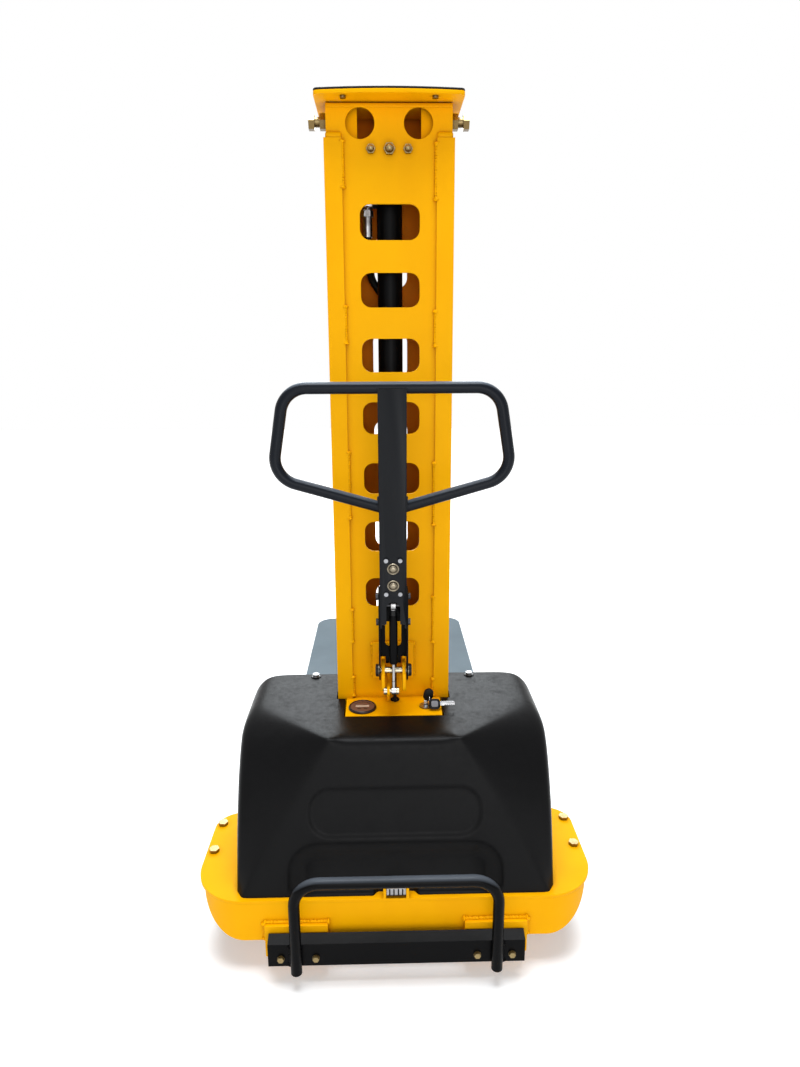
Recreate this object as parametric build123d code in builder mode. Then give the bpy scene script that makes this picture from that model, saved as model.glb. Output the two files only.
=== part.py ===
from build123d import *
import os
from math import cos, radians, sin, sqrt

os.makedirs("parts", exist_ok=True)

# Self-loading stacker, millimetres, +Z up, operator on the -Y side, forks along +Y.
# A station is a distance forward of the rear face of the base, at(station) is its Y.

# Clearances
RUN = 0.05
SLIDE = 0.5
FACE = 1.0
PASS = 3.0
LEG_FIT = 0.4

# Base
BASE_WIDTH = 736.0
EAR_DEPTH = 262.0
BASE_TOP = 150.0
BASE_SHEET = 6.0
SKIRT_DROP = 76.0
SKIRT_ROUND = 75.0
SKIRT_SHEET = 5.0
REAR_CORNER = 95.0
EAR_CORNER = 50.0

# Fixed mast
MAST_STATION = 230.0
MAST_WIDTH = 220.0
MAST_DEPTH = 116.0
MAST_SHEET = 5.0
CHANNEL_FLANGE = 30.0
CHANNEL_DROP = 53.0
REAR_PLATE = 6.0
HEAD_WIDTH = 212.0
HEAD_TOP = 1498.0
CHEEK = 6.0
CHEEK_REACH = 70.0
WINDOW_WIDTH = 103.0
WINDOW_HEIGHT = 58.0
WINDOW_CORNER = 18.0
WINDOW_PITCH = 111.3
WINDOW_COUNT = 7
TOP_WINDOW_DROP = 184.0
HEAD_HOLE = 49.0
HEAD_HOLE_X = 49.0
HEAD_HOLE_DROP = 30.0

# Lifting mast and forks
RAIL = 7.0
INNER_PLATE = 8.0
INNER_BOTTOM = 96.0
INNER_WINDOW_WIDTH = 65.0
INNER_WINDOW_HEIGHT = 90.0
INNER_WINDOW_CORNER = 20.0
INNER_WINDOW_PITCH = 167.3
INNER_WINDOW_COUNT = 6
INNER_TOP_WINDOW_DROP = 240.0
TOP_PLATE_WIDTH = 246.0
TOP_PLATE_OVERHANG = 40.0
TOP_PLATE_BOW = 9.0
TOP_PLATE = 6.0
TOP_PAD = 4.0
ROLLER_PIN = 20.0
ROLLER_Z = 206.0
ROLLER_SIDE = 2.0
CARRIAGE = 16.0
CARRIAGE_INSET = 5.0
CARRIAGE_TOP = 300.0
FORK_SPREAD = 540.0
FORK_WIDTH = 160.0
FORK_LENGTH = 1220.0
FORK_TOP = 90.0
FORK_DEPTH = 56.0
FORK_SHEET = 6.0
FORK_NOSE = 60.0
FORK_HEEL = 14.0
FORK_ROLLER = 40.0
FORK_ROLLER_WIDTH = 60.0
FORK_ROLLER_SETBACK = 58.0
FORK_ROLLER_LIFT = 26.0
FORK_AXLE = 12.0

# Sliding legs
LEG_WIDTH = 92.0
LEG_HEIGHT = 48.0
LEG_WALL = 5.0
LEG_INSET = 16.0
LEG_FLOOR_GAP = 26.0
LEG_FRONT = 1446.0
LEG_END_PLATE = 10.0
LEG_WHEEL = 74.0
LEG_WHEEL_WIDTH = 60.0
LEG_WHEEL_SETBACK = 46.0
LEG_AXLE = 14.0
SLEEVE_WALL = 5.0
SLEEVE_FRONT = 330.0
COLLAR_REACH = 11.0
COLLAR_DEPTH = 41.0
COLLAR_TOP = 106.0
COLLAR_FLANK = 10.0
COLLAR_FOOT = 42.0
HANGER = 8.0

# Cross plate and pull hoop behind the legs
CROSS_MARGIN = 2.6
CROSS_SHEET = 6.0
CROSS_BOTTOM = 41.0
CROSS_BEND = 86.0
CROSS_LIP = 19.0
CROSS_LIP_RISE = 7.0
CROSS_STANDOFF = 26.0
CROSS_BOLT_Z = 58.0
CROSS_BOLT_SPACING = 62.0
HOOP_TUBE = 20.0
HOOP_FOOT = 36.0
HOOP_OFFSET = 3.0
HOOP_TOP = 218.0
HOOP_BEND = 45.0
HOOP_LAND = 0.8

# Casters
CASTER_INSET = 56.5
CASTER_STATION = 181.0
CASTER_PLATE_SIZE = 112.0
CASTER_BOLT_SPACING = 84.0
CASTER_SHEET = 6.0
CASTER_TRAIL = 30.0
CASTER_WHEEL = 100.0
CASTER_WHEEL_WIDTH = 36.0
CASTER_AXLE = 10.0
CASTER_RACE = 56.0
CASTER_RACE_DEPTH = 8.0
CASTER_CROWN = 10.0
CASTER_FORK_SHEET = 4.0
KINGPIN = 12.0

# Rear cover
COVER_INSET = 78.0
COVER_TOP = 427.0
COVER_WALL = 4.0
COVER_FRONT_GAP = 1.0
COVER_REAR = 8.0
COVER_RIDGE_STATION = 71.0
COVER_RIDGE_HALF = 123.0
COVER_FOOT_INSET = 14.0
COVER_SIDE_STATION = 30.0
COVER_WING_STATION = 215.0
COVER_SHOULDER = 28.0
COVER_FRONT_CORNER = 40.0
COVER_REAR_CORNER = 26.0
COVER_RECESS_WIDTH = 308.0
COVER_RECESS_HEIGHT = 87.0
COVER_RECESS_TOP = 339.0
COVER_RECESS_CORNER = 38.0
COVER_RECESS_DEPTH = 4.0
COVER_POCKET_WIDTH = 360.0
COVER_POCKET_TOP = 228.0
COVER_POCKET_CORNER = 36.0
COVER_POCKET_DEPTH = 10.0
COVER_SCREW_X = 163.0
COVER_SCREW_SETBACK = 14.0

# Instrument shelf
SHELF_WIDTH = 185.0
SHELF_DEPTH = 75.0
SHELF_SHEET = 4.0
SHELF_LIP = 16.0
GAUGE_X = -60.5
GAUGE_STATION = 188.0
GAUGE_BEZEL = 54.0
GAUGE_BODY = 49.0
GAUGE_DEPTH = 36.0
KEY_X = 63.0
KEY_STATION = 191.0
LOCK_BODY = 19.0
LOCK_PLUG = 12.0
LOCK_NUT = 26.0

# Tiller
PIVOT_STATION = 165.0
PIVOT_Z = 516.0
TILLER_LEAN = 5.0
PIVOT_BOLT = 12.0
EAR_INNER = 16.5
EAR_SHEET = 6.0
YOKE_SHEET = 3.0
STEM_WIDTH = 48.0
STEM_SHEET = 3.0
STEM_FACE = 20.0
STEM_BACK = -15.0
STEM_FOOT = 96.0
FACE_FOOT = 104.0
FACE_SLOT_WIDTH = 25.0
FACE_SLOT_TOP = 148.0
LOOP_TUBE = 20.0
LOOP_TOP = 527.0
LOOP_TOP_HALF = 178.0
LOOP_SIDE = 376.0
LOOP_SIDE_HALF = 205.0
LOOP_JOIN = 322.0
LOOP_BEND = 45.0
LOOP_FACE = 5.0
RAISE_BUTTON = 212.0
LOWER_BUTTON = 180.0
BUTTON = 13.8
BUTTON_BARREL = 16.0
BUTTON_BEZEL = 21.0
PANEL_SCREW_X = 12.5
PANEL_SCREWS = (228.0, 164.0)
SPRING_DROP = 34.5
SPRING_OFFSET = 17.0
SPRING_TOP = 137.0
SPRING_TOP_FACE = 8.0
SPRING_BODY = 13.0
SPRING_ROD = 6.0
SPRING_EYE = 15.0
SPRING_BOLT = 8.0
SPRING_TOP_PIN = 6.0
SPRING_TOP_PLAY = 3.5
SPRING_STROKE = 32.0
SPRING_CAP = 8.0

# Lift cylinder
BARREL = 45.0
BARREL_STATION = 285.0
BARREL_BOTTOM = 196.0
BARREL_DROP = 52.0
PISTON_ROD = 25.0
CLAMP_DROP = 70.0
CLAMP_HEIGHT = 34.0
CLAMP_WIDTH = 88.0
CLAMP_STUD_X = 31.3

# Base plate with its welded latch tabs
LATCH_HALF = 18.0
LATCH_TAB = 5.0
LATCH_HEIGHT = 24.0
LATCH_DEPTH = 14.0
LATCH_PIN = 6.0

# Mast channels, open towards each other, with a tab that carries the cover
TAB_SHEET = 5.0
TAB_DEPTH = 26.0

# Rear plate of the mast: a row of windows, and a head folded into two cheeks
ADJUSTER = 16.0
ADJUSTER_STATION = 262.0
ADJUSTER_DROP = 22.0
HOSE_GATE_WIDTH = 130.0
HOSE_GATE = (206.0, 330.0)

# Wear pads and the side bolts that set them against the lifting mast
PAD_SPAN = 44.0
PAD_HEIGHT = 36.0
PAD_BACK = 96.0
ADJUSTER_HEAD = 10.0
ADJUSTER_NUT = 11.0
ADJUSTER_REACH = 20.0
ADJUSTER_FLATS = 24.0

# Lift cylinder, its foot and clamp, the cap nuts outside the plate
FOOT_HEIGHT = 36.0
FOOT_WIDTH = 90.0
PORT = 16.0
PORT_DROP = 146.0
PORT_REACH = 8.0
FOOT_PORT_Z = 226.0

# Hoses, each a run of straight lengths and bends, with the fittings on the cylinder ports
HOSE = 14.0
HOSE_BEND = 25.0
HOSE_X = 45.0
HOSE_SWING = 33.0
FITTING = 18.0
FITTING_FLATS = 19.0
FERRULE = 17.0
FERRULE_LENGTH = 34.0
MANIFOLD_FRONT = 190.0

# Power pack under the cover
BATTERY_INNER = -28.0
BATTERY_REAR = 95.0
BATTERY_DEPTH = 129.0
BATTERY_HEIGHT = 186.0
BATTERY_ROUND = 8.0
POST = 16.0
MANIFOLD_INNER = 26.0
MANIFOLD_REAR = 95.0
MANIFOLD_HEIGHT = 170.0
MOTOR = 110.0
MOTOR_GAP = 36.0
MOTOR_LENGTH = 140.0
MOTOR_Z = 228.0
TANK_GAP = 24.0
TANK_WIDTH = 112.0
TANK_REAR = 236.0
TANK_DEPTH = 93.0
TANK_HEIGHT = 225.0
TANK_ROUND = 12.0
TANK_CAP = 34.0
TANK_CAP_HEIGHT = 14.0

# Sliding legs, each with its front axle, and their wheels
CROSS_BOLT = 6.0
CROSS_WASHER = 13.0
LEG_CHAMFER = 12.0

# Casters: plate and kingpin on the base, swivelling fork with its axle, wheel
CASTER_BOLT = 10.0

# Rear cover: a moulded shell whose rear panel leans forward and whose wings sweep back to the deck
COVER_LEVELS = (0.0, 0.3, 0.55, 0.75, 0.88, 0.94, 0.975, 1.0)
COVER_BOLT = 7.8
COVER_BOLT_HOLE = 9.0
COVER_WASHER = 22.0
COVER_WASHER_THICK = 1.6
COVER_BOLT_HEAD = 14.0
COVER_BOLT_HEAD_THICK = 4.4

# Latch of the cover, a plate that swings rearward on the pin between the tabs
LATCH_PLATE = 7.0

# Instrument shelf with gauge, key switch and keys
CABLE = 7.0
CABLE_X = 3.0
CABLE_STATION = 214.0
GAUGE_PROUD = 5.0
LOCK_DEPTH = 30.0
LOCK_COLLAR = 2.5
PLUG_DEPTH = 20.0
KEY_BOW = 22.0
KEY_BOW_THICK = 6.0
KEY_RING = 18.0
KEY_WIRE = 1.8
KEY_EYE = 3.4

# Tiller bracket on the mast plate, pivot bolts, cable below the pivot
BRACKET_PLATE = 6.0
BRACKET_HALF = 40.0
EAR_ROUND = 17.0
EAR_DROP = 38.0
TAB_NEAR = -12.5
TAB_FAR = -7.5
TAB_ROUND = 9.0
HEAD_CLEAR = 0.4
BOLT_HEAD = 24.0
BOLT_HEAD_THICK = 6.5

# Tiller, drawn on a plane that holds the pivot axis: across, up the stem, towards the operator
YOKE_TOP = 165.0
YOKE_BOLTS = (101.0, 152.0)
YOKE_BOLT = 8.0
YOKE_BOLT_OUT = 2.0
YOKE_WEB = (22.0, 94.0)
YOKE_SLOT_WIDTH = 30.0
YOKE_SLOT_FOOT = 43.0
YOKE_SLOT_CORNER = 9.0
YOKE_TONGUE = 8.0
BEZEL_PROUD = 3.0
BARREL_DEPTH = 18.0
BUTTON_PROUD = 3.5
BUTTON_TRAVEL = 2.0

# Gas spring between the bracket tab and the pin in the stem
SPRING_BODY_FOOT = 56.0

# Cable inside the stem, from the pivot up to the buttons
UPPER_CABLE = 6.0
UPPER_CABLE_OUT = -9.0

# Stations, heights and halves that follow from the sizes above
mast_front = MAST_STATION + MAST_DEPTH
plate_back = MAST_STATION + MAST_SHEET
plate_front = plate_back + REAR_PLATE
base_front = mast_front + 2.0 * FACE
carriage_back = mast_front + 2.0 * PASS
carriage_front = carriage_back + CARRIAGE
fork_tip = carriage_front + FORK_LENGTH
cross_front = -CROSS_STANDOFF
cross_back = cross_front - CROSS_SHEET
hoop_station = cross_back - HOOP_TUBE / 2 + HOOP_LAND
rear_most = hoop_station - HOOP_TUBE / 2
y_of_base = -(rear_most + fork_tip) / 2
base_under = BASE_TOP - BASE_SHEET
rail_outer = MAST_WIDTH / 2 - CHANNEL_FLANGE - FACE
rail_inner = rail_outer - RAIL
web_inner = MAST_WIDTH / 2 - MAST_SHEET
flange_front = mast_front - MAST_SHEET
leg_top = LEG_FLOOR_GAP + LEG_HEIGHT
fork_x = FORK_SPREAD / 2 - FORK_WIDTH / 2
carriage_half = FORK_SPREAD / 2 - CARRIAGE_INSET
leg_x = fork_x - LEG_INSET
hoop_half = leg_x + HOOP_OFFSET
top_plate_z = HEAD_TOP + 2.0 * FACE
sleeve_half = LEG_WIDTH / 2 + LEG_FIT + SLEEVE_WALL
sleeve_floor = LEG_FLOOR_GAP - LEG_FIT - SLEEVE_WALL
sleeve_roof = leg_top + LEG_FIT + SLEEVE_WALL
cross_half = leg_x + sleeve_half + CROSS_MARGIN
caster_x = BASE_WIDTH / 2 - CASTER_INSET
channel_top = HEAD_TOP - CHANNEL_DROP
top_window = HEAD_TOP - TOP_WINDOW_DROP
head_hole_z = HEAD_TOP - HEAD_HOLE_DROP
inner_top_window = HEAD_TOP - INNER_TOP_WINDOW_DROP
barrel_top = HEAD_TOP - BARREL_DROP
clamp_z = HEAD_TOP - CLAMP_DROP
adjuster_z = HEAD_TOP - ADJUSTER_DROP
port_z = HEAD_TOP - PORT_DROP
cover_half = BASE_WIDTH / 2 - COVER_INSET
cover_foot_half = cover_half - COVER_FOOT_INSET
cover_front = base_front - COVER_FRONT_GAP
shelf_rear = MAST_STATION - SHELF_DEPTH


def at(station):
    return station + y_of_base


def block(xs, ys, zs, mode=Mode.ADD):
    with Locations(((xs[0] + xs[1]) / 2, (ys[0] + ys[1]) / 2, (zs[0] + zs[1]) / 2)):
        Box(abs(xs[1] - xs[0]), abs(ys[1] - ys[0]), abs(zs[1] - zs[0]), mode=mode)


def bar_x(diameter, xs, y, z, mode=Mode.ADD):
    with Locations(((xs[0] + xs[1]) / 2, y, z)):
        Cylinder(diameter / 2, abs(xs[1] - xs[0]), rotation=(0, 90, 0), mode=mode)


def bar_y(diameter, x, ys, z, mode=Mode.ADD):
    with Locations((x, (ys[0] + ys[1]) / 2, z)):
        Cylinder(diameter / 2, abs(ys[1] - ys[0]), rotation=(90, 0, 0), mode=mode)


def bar_z(diameter, x, y, zs, mode=Mode.ADD):
    with Locations((x, y, (zs[0] + zs[1]) / 2)):
        Cylinder(diameter / 2, abs(zs[1] - zs[0]), mode=mode)


def prism(plane, points, depth, mode=Mode.ADD):
    with BuildSketch(plane) as outline:
        with BuildLine():
            Polyline(*points, close=True)
        make_face()
    extrude(outline.sketch, amount=depth, mode=mode)


def hexagon(plane, across_flats, height, mode=Mode.ADD):
    with BuildSketch(plane) as outline:
        RegularPolygon(across_flats / 2, 6, major_radius=False)
    extrude(outline.sketch, amount=height, mode=mode)


def keep(piece, label):
    piece.part.label = label
    export_step(piece.part, "parts/" + label + ".step")


def facing(x, station, z, normal):
    return Plane(origin=(x, at(station), z), x_dir=(1, 0, 0) if abs(normal[0]) < 0.5 else (0, 1, 0),
                 z_dir=normal)


def base_outline(inset):
    # Plan of the wide part of the base, drawn in by an inset.
    half = BASE_WIDTH / 2 - inset
    rear, front = at(inset), at(EAR_DEPTH - inset)
    with BuildSketch() as outline:
        with Locations((0, (rear + front) / 2)):
            Rectangle(2 * half, front - rear)
        fillet(outline.vertices().group_by(Axis.Y)[0], REAR_CORNER - inset)
        fillet(outline.vertices().group_by(Axis.Y)[-1], EAR_CORNER - inset)
    return outline.sketch


# Base plate with its welded latch tabs
latch_station = 7.0
latch_pin_z = BASE_TOP + 9.0
caster_bolt_hole = 10.5
well_half = rail_outer + PASS
well_rear = plate_front + PASS

with BuildPart() as base_plate:
    extrude(Plane.XY.offset(base_under) * base_outline(0), amount=BASE_SHEET)
    block((-cover_half - FACE, cover_half + FACE), (at(EAR_DEPTH / 2), at(base_front)),
          (base_under, BASE_TOP))
    block((-well_half, well_half), (at(well_rear), at(base_front + FACE)), (base_under, BASE_TOP),
          Mode.SUBTRACT)
    for side in (-1, 1):
        with Locations((side * caster_x, at(CASTER_STATION), BASE_TOP)):
            with GridLocations(CASTER_BOLT_SPACING, CASTER_BOLT_SPACING, 2, 2):
                Hole(caster_bolt_hole / 2, BASE_SHEET)
        tab = (side * LATCH_HALF, side * (LATCH_HALF + LATCH_TAB))
        block(tab, (at(0), at(LATCH_DEPTH)), (BASE_TOP, BASE_TOP + LATCH_HEIGHT))
    bar_x(LATCH_PIN, (-LATCH_HALF, LATCH_HALF), at(latch_station), latch_pin_z)
keep(base_plate, "base_plate")

# Rear skirt, a band bent round the rear corners, notched for the leg collars
skirt_bottom = base_under - SKIRT_DROP
with BuildPart() as rear_skirt:
    extrude(Plane.XY.offset(skirt_bottom) * base_outline(0), amount=SKIRT_DROP)
    extrude(Plane.XY.offset(skirt_bottom) * base_outline(SKIRT_SHEET), amount=SKIRT_DROP,
            mode=Mode.SUBTRACT)
    block((-BASE_WIDTH, BASE_WIDTH), (at(REAR_CORNER), at(EAR_DEPTH + FACE)), (skirt_bottom, base_under),
          Mode.SUBTRACT)
    with BuildSketch(Plane.XZ.offset(-at(REAR_CORNER))) as skirt_face:
        with Locations((0, skirt_bottom + SKIRT_DROP / 2)):
            Rectangle(2 * (BASE_WIDTH / 2 - REAR_CORNER + SKIRT_ROUND), SKIRT_DROP)
        fillet(skirt_face.vertices().group_by(Axis.Y)[0], SKIRT_ROUND)
    extrude(amount=2 * REAR_CORNER, both=True, mode=Mode.INTERSECT)
    for side in (-1, 1):
        gate = (side * (leg_x - sleeve_half), side * (leg_x + sleeve_half + COLLAR_FLANK))
        block(gate, (at(-FACE), at(SKIRT_SHEET + FACE)), (skirt_bottom, COLLAR_TOP), Mode.SUBTRACT)
keep(rear_skirt, "rear_skirt")

# Sleeves that the legs slide in, each with a rear collar and two hangers
hanger_stations = (70.0, 300.0)
with BuildPart() as leg_sleeves:
    for side in (-1, 1):
        walls = (side * (leg_x - sleeve_half), side * (leg_x + sleeve_half))
        block(walls, (at(-COLLAR_REACH), at(SLEEVE_FRONT)), (sleeve_floor, sleeve_roof))
        collar = (at(-COLLAR_REACH), at(COLLAR_DEPTH - COLLAR_REACH))
        block(walls, collar, (sleeve_floor, COLLAR_TOP))
        block((walls[1], walls[1] + side * COLLAR_FLANK), collar, (COLLAR_FOOT, COLLAR_TOP))
        for station in hanger_stations:
            block(walls, (at(station), at(station + HANGER)), (sleeve_roof, base_under))
        passage = (side * (leg_x - LEG_WIDTH / 2 - LEG_FIT), side * (leg_x + LEG_WIDTH / 2 + LEG_FIT))
        block(passage, (at(-COLLAR_REACH - FACE), at(SLEEVE_FRONT + FACE)),
              (LEG_FLOOR_GAP - LEG_FIT, leg_top + LEG_FIT), Mode.SUBTRACT)
keep(leg_sleeves, "leg_sleeves")

# Mast channels, open towards each other, with a tab that carries the cover
cover_screw_station = cover_front - COVER_SCREW_SETBACK
tab_top = COVER_TOP - COVER_WALL
with BuildPart() as mast_channels:
    for side in (-1, 1):
        outer = side * MAST_WIDTH / 2
        edge = side * (MAST_WIDTH / 2 - CHANNEL_FLANGE)
        block((outer, edge), (at(MAST_STATION), at(mast_front)), (BASE_TOP, channel_top))
        block((side * web_inner, edge - side * FACE), (at(plate_back), at(flange_front)),
              (BASE_TOP - FACE, channel_top + FACE), Mode.SUBTRACT)
        block((outer, side * (COVER_SCREW_X + TAB_DEPTH / 2)),
              (at(cover_screw_station - TAB_DEPTH / 2), at(cover_front - COVER_WALL - FACE)),
              (tab_top - TAB_SHEET, tab_top))
        with Locations((side * COVER_SCREW_X, at(cover_screw_station), tab_top)):
            Hole(COVER_BOLT / 2 + RUN, TAB_SHEET)
keep(mast_channels, "mast_channels")

# Rear plate of the mast: a row of windows, and a head folded into two cheeks
clamp_studs = ((-CLAMP_STUD_X, 8.0), (0.0, 10.0), (CLAMP_STUD_X, 8.0))
with BuildPart() as mast_rear_plate:
    block((-web_inner, web_inner), (at(plate_back), at(plate_front)), (BASE_TOP, channel_top))
    block((-HEAD_WIDTH / 2, HEAD_WIDTH / 2), (at(plate_back), at(plate_front)), (channel_top, HEAD_TOP))
    for side in (-1, 1):
        block((side * (HEAD_WIDTH / 2 - CHEEK), side * HEAD_WIDTH / 2),
              (at(plate_back), at(plate_front + CHEEK_REACH)), (channel_top, HEAD_TOP))
        bar_x(ADJUSTER + 2 * RUN,
              (side * (HEAD_WIDTH / 2 - CHEEK - FACE), side * (HEAD_WIDTH / 2 + FACE)),
              at(ADJUSTER_STATION), adjuster_z, Mode.SUBTRACT)
        bar_y(HEAD_HOLE, side * HEAD_HOLE_X, (at(plate_back - FACE), at(plate_front + FACE)), head_hole_z,
              Mode.SUBTRACT)
    with BuildSketch(facing(0, plate_back, 0, (0, -1, 0))):
        for number in range(WINDOW_COUNT):
            with Locations((0, top_window - number * WINDOW_PITCH)):
                RectangleRounded(WINDOW_WIDTH, WINDOW_HEIGHT, WINDOW_CORNER)
    extrude(amount=-REAR_PLATE, mode=Mode.SUBTRACT)
    block((-HOSE_GATE_WIDTH / 2, HOSE_GATE_WIDTH / 2), (at(plate_back), at(plate_front)), HOSE_GATE,
          Mode.SUBTRACT)
    for x, stud in clamp_studs:
        bar_y(stud + 2 * RUN, x, (at(plate_back - FACE), at(plate_front + FACE)), clamp_z, Mode.SUBTRACT)
keep(mast_rear_plate, "mast_rear_plate")

# Wear pads and the side bolts that set them against the lifting mast
with BuildPart() as guide_pads:
    for side in (-1, 1):
        block((side * (rail_outer + SLIDE), side * PAD_BACK),
              (at(ADJUSTER_STATION - PAD_SPAN / 2 + PASS), at(ADJUSTER_STATION + PAD_SPAN / 2 + PASS)),
              (adjuster_z - PAD_HEIGHT / 2, adjuster_z + PAD_HEIGHT / 2))
keep(guide_pads, "guide_pads")

with BuildPart() as pad_adjusters:
    for side in (-1, 1):
        seat = side * HEAD_WIDTH / 2
        head = seat + side * ADJUSTER_REACH
        bar_x(ADJUSTER, (side * PAD_BACK, head), at(ADJUSTER_STATION), adjuster_z)
        hexagon(facing(seat, ADJUSTER_STATION, adjuster_z, (side, 0, 0)), ADJUSTER_FLATS, ADJUSTER_NUT)
        hexagon(facing(head, ADJUSTER_STATION, adjuster_z, (side, 0, 0)), ADJUSTER_FLATS, ADJUSTER_HEAD)
keep(pad_adjusters, "pad_adjusters")

# Lift cylinder, its foot and clamp, the cap nuts outside the plate
rod_top = top_plate_z
with BuildPart() as cylinder_barrel:
    bar_z(BARREL, 0, at(BARREL_STATION), (BARREL_BOTTOM, barrel_top))
    bar_x(PORT, (-BARREL / 2 - PORT_REACH, 0), at(BARREL_STATION), port_z)
    bar_x(PORT, (0, BARREL / 2 + PORT_REACH), at(BARREL_STATION), FOOT_PORT_Z)
    bar_z(PISTON_ROD + 2 * RUN, 0, at(BARREL_STATION), (BARREL_BOTTOM + 40.0, barrel_top + FACE),
          Mode.SUBTRACT)
keep(cylinder_barrel, "cylinder_barrel")

with BuildPart() as cylinder_rod:
    bar_z(PISTON_ROD, 0, at(BARREL_STATION), (BARREL_BOTTOM + 60.0, rod_top))
keep(cylinder_rod, "cylinder_rod")

with BuildPart() as cylinder_brackets:
    block((-FOOT_WIDTH / 2, FOOT_WIDTH / 2), (at(plate_front), at(BARREL_STATION + BARREL / 2 + PASS)),
          (BARREL_BOTTOM - FOOT_HEIGHT, BARREL_BOTTOM))
    block((-CLAMP_WIDTH / 2, CLAMP_WIDTH / 2), (at(plate_front), at(BARREL_STATION)),
          (clamp_z - CLAMP_HEIGHT / 2, clamp_z + CLAMP_HEIGHT / 2))
    bar_z(BARREL + 2 * RUN, 0, at(BARREL_STATION), (clamp_z - CLAMP_HEIGHT, clamp_z + CLAMP_HEIGHT),
          Mode.SUBTRACT)
    for x, stud in clamp_studs:
        bar_y(stud + 2 * RUN, x, (at(plate_front - FACE), at(plate_front + stud)), clamp_z, Mode.SUBTRACT)
keep(cylinder_brackets, "cylinder_brackets")

with BuildPart() as clamp_cap_nuts:
    for x, stud in clamp_studs:
        flats = 1.7 * stud
        bar_y(stud, x, (at(plate_back), at(plate_front + stud - FACE)), clamp_z)
        hexagon(facing(x, plate_back, clamp_z, (0, -1, 0)), flats, 0.75 * stud)
        with Locations((x, at(plate_back - 0.75 * stud), clamp_z)):
            Sphere(0.43 * flats)
keep(clamp_cap_nuts, "clamp_cap_nuts")

# Hoses, each a run of straight lengths and bends, with the fittings on the cylinder ports
port_x = BARREL / 2 + PORT_REACH
elbow_x = port_x + FITTING / 2
ferrule_top = port_z - 22.0
hose_top = ferrule_top - FERRULE_LENGTH
behind_barrel = BARREL_STATION + BARREL / 2 + HOSE / 2 + 2 * PASS
lift_hose_z = HOSE_GATE[0] + 70.0

with BuildPart() as hydraulic_hoses:
    with BuildLine() as lift_run:
        FilletPolyline(
            (-elbow_x, at(BARREL_STATION), hose_top),
            (-elbow_x, at(BARREL_STATION), hose_top - 36.0),
            (-HOSE_SWING, at(behind_barrel - HOSE / 2), hose_top - 70.0),
            (-PASS, at(behind_barrel), hose_top - 112.0),
            (-PASS, at(behind_barrel), lift_hose_z + 108.0),
            (HOSE_X, at(BARREL_STATION + 20.0), lift_hose_z + 52.0),
            (HOSE_X, at(BARREL_STATION + 20.0), lift_hose_z),
            (HOSE_X, at(MANIFOLD_FRONT), lift_hose_z),
            radius=HOSE_BEND)
    with BuildSketch(lift_run.line ^ 0):
        Circle(HOSE / 2)
    sweep()
    bar_y(HOSE, elbow_x, (at(MANIFOLD_FRONT), at(BARREL_STATION - FITTING / 2)), FOOT_PORT_Z)
keep(hydraulic_hoses, "hydraulic_hoses")

with BuildPart() as hose_fittings:
    bar_x(FITTING, (-port_x, -elbow_x - FITTING / 2), at(BARREL_STATION), port_z)
    bar_z(FITTING - 2.0, -elbow_x, at(BARREL_STATION), (ferrule_top, port_z))
    hexagon(facing(-elbow_x, BARREL_STATION, ferrule_top, (0, 0, 1)), FITTING_FLATS, 11.0)
    bar_z(FERRULE, -elbow_x, at(BARREL_STATION), (hose_top, ferrule_top))
    bar_x(FITTING, (port_x, elbow_x + FITTING / 2), at(BARREL_STATION), FOOT_PORT_Z)
keep(hose_fittings, "hose_fittings")

# Power pack under the cover
bolt_flats = 1.7 * CASTER_BOLT
battery_outer = caster_x - CASTER_BOLT_SPACING / 2 - bolt_flats / sqrt(3) - PASS
battery_top = BASE_TOP + BATTERY_HEIGHT
with BuildPart() as battery:
    block((-battery_outer, BATTERY_INNER), (at(BATTERY_REAR), at(BATTERY_REAR + BATTERY_DEPTH)),
          (BASE_TOP, battery_top))
    fillet(battery.edges().filter_by(Axis.Z), BATTERY_ROUND)
    for post_x in (-battery_outer + 2 * POST, BATTERY_INNER - 2 * POST):
        bar_z(POST, post_x, at(BATTERY_REAR + 2 * POST), (battery_top, battery_top + POST))
keep(battery, "battery")

motor_end = cover_half - COVER_WALL - MOTOR_GAP
motor_start = motor_end - MOTOR_LENGTH
with BuildPart() as hydraulic_pump:
    block((MANIFOLD_INNER, motor_start), (at(MANIFOLD_REAR), at(MANIFOLD_FRONT)),
          (BASE_TOP, BASE_TOP + MANIFOLD_HEIGHT))
    bar_x(MOTOR, (motor_start, motor_end), at((MANIFOLD_REAR + MANIFOLD_FRONT) / 2), MOTOR_Z)
keep(hydraulic_pump, "hydraulic_pump")

tank_outer = cover_half - COVER_WALL - TANK_GAP
tank_top = BASE_TOP + TANK_HEIGHT
with BuildPart() as oil_tank:
    block((tank_outer - TANK_WIDTH, tank_outer), (at(TANK_REAR), at(TANK_REAR + TANK_DEPTH)),
          (BASE_TOP, tank_top))
    fillet(oil_tank.edges().filter_by(Axis.Z), TANK_ROUND)
    bar_z(TANK_CAP, tank_outer - TANK_WIDTH / 2, at(TANK_REAR + TANK_DEPTH / 2),
          (tank_top, tank_top + TANK_CAP_HEIGHT))
keep(oil_tank, "oil_tank")

# Lifting mast: two rails, a windowed plate, the top plate with its pad
rail_back = plate_front + 2 * PASS
with BuildPart() as inner_rails:
    for side in (-1, 1):
        block((side * rail_inner, side * rail_outer), (at(rail_back), at(flange_front)),
              (INNER_BOTTOM, top_plate_z))
keep(inner_rails, "inner_rails")

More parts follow.
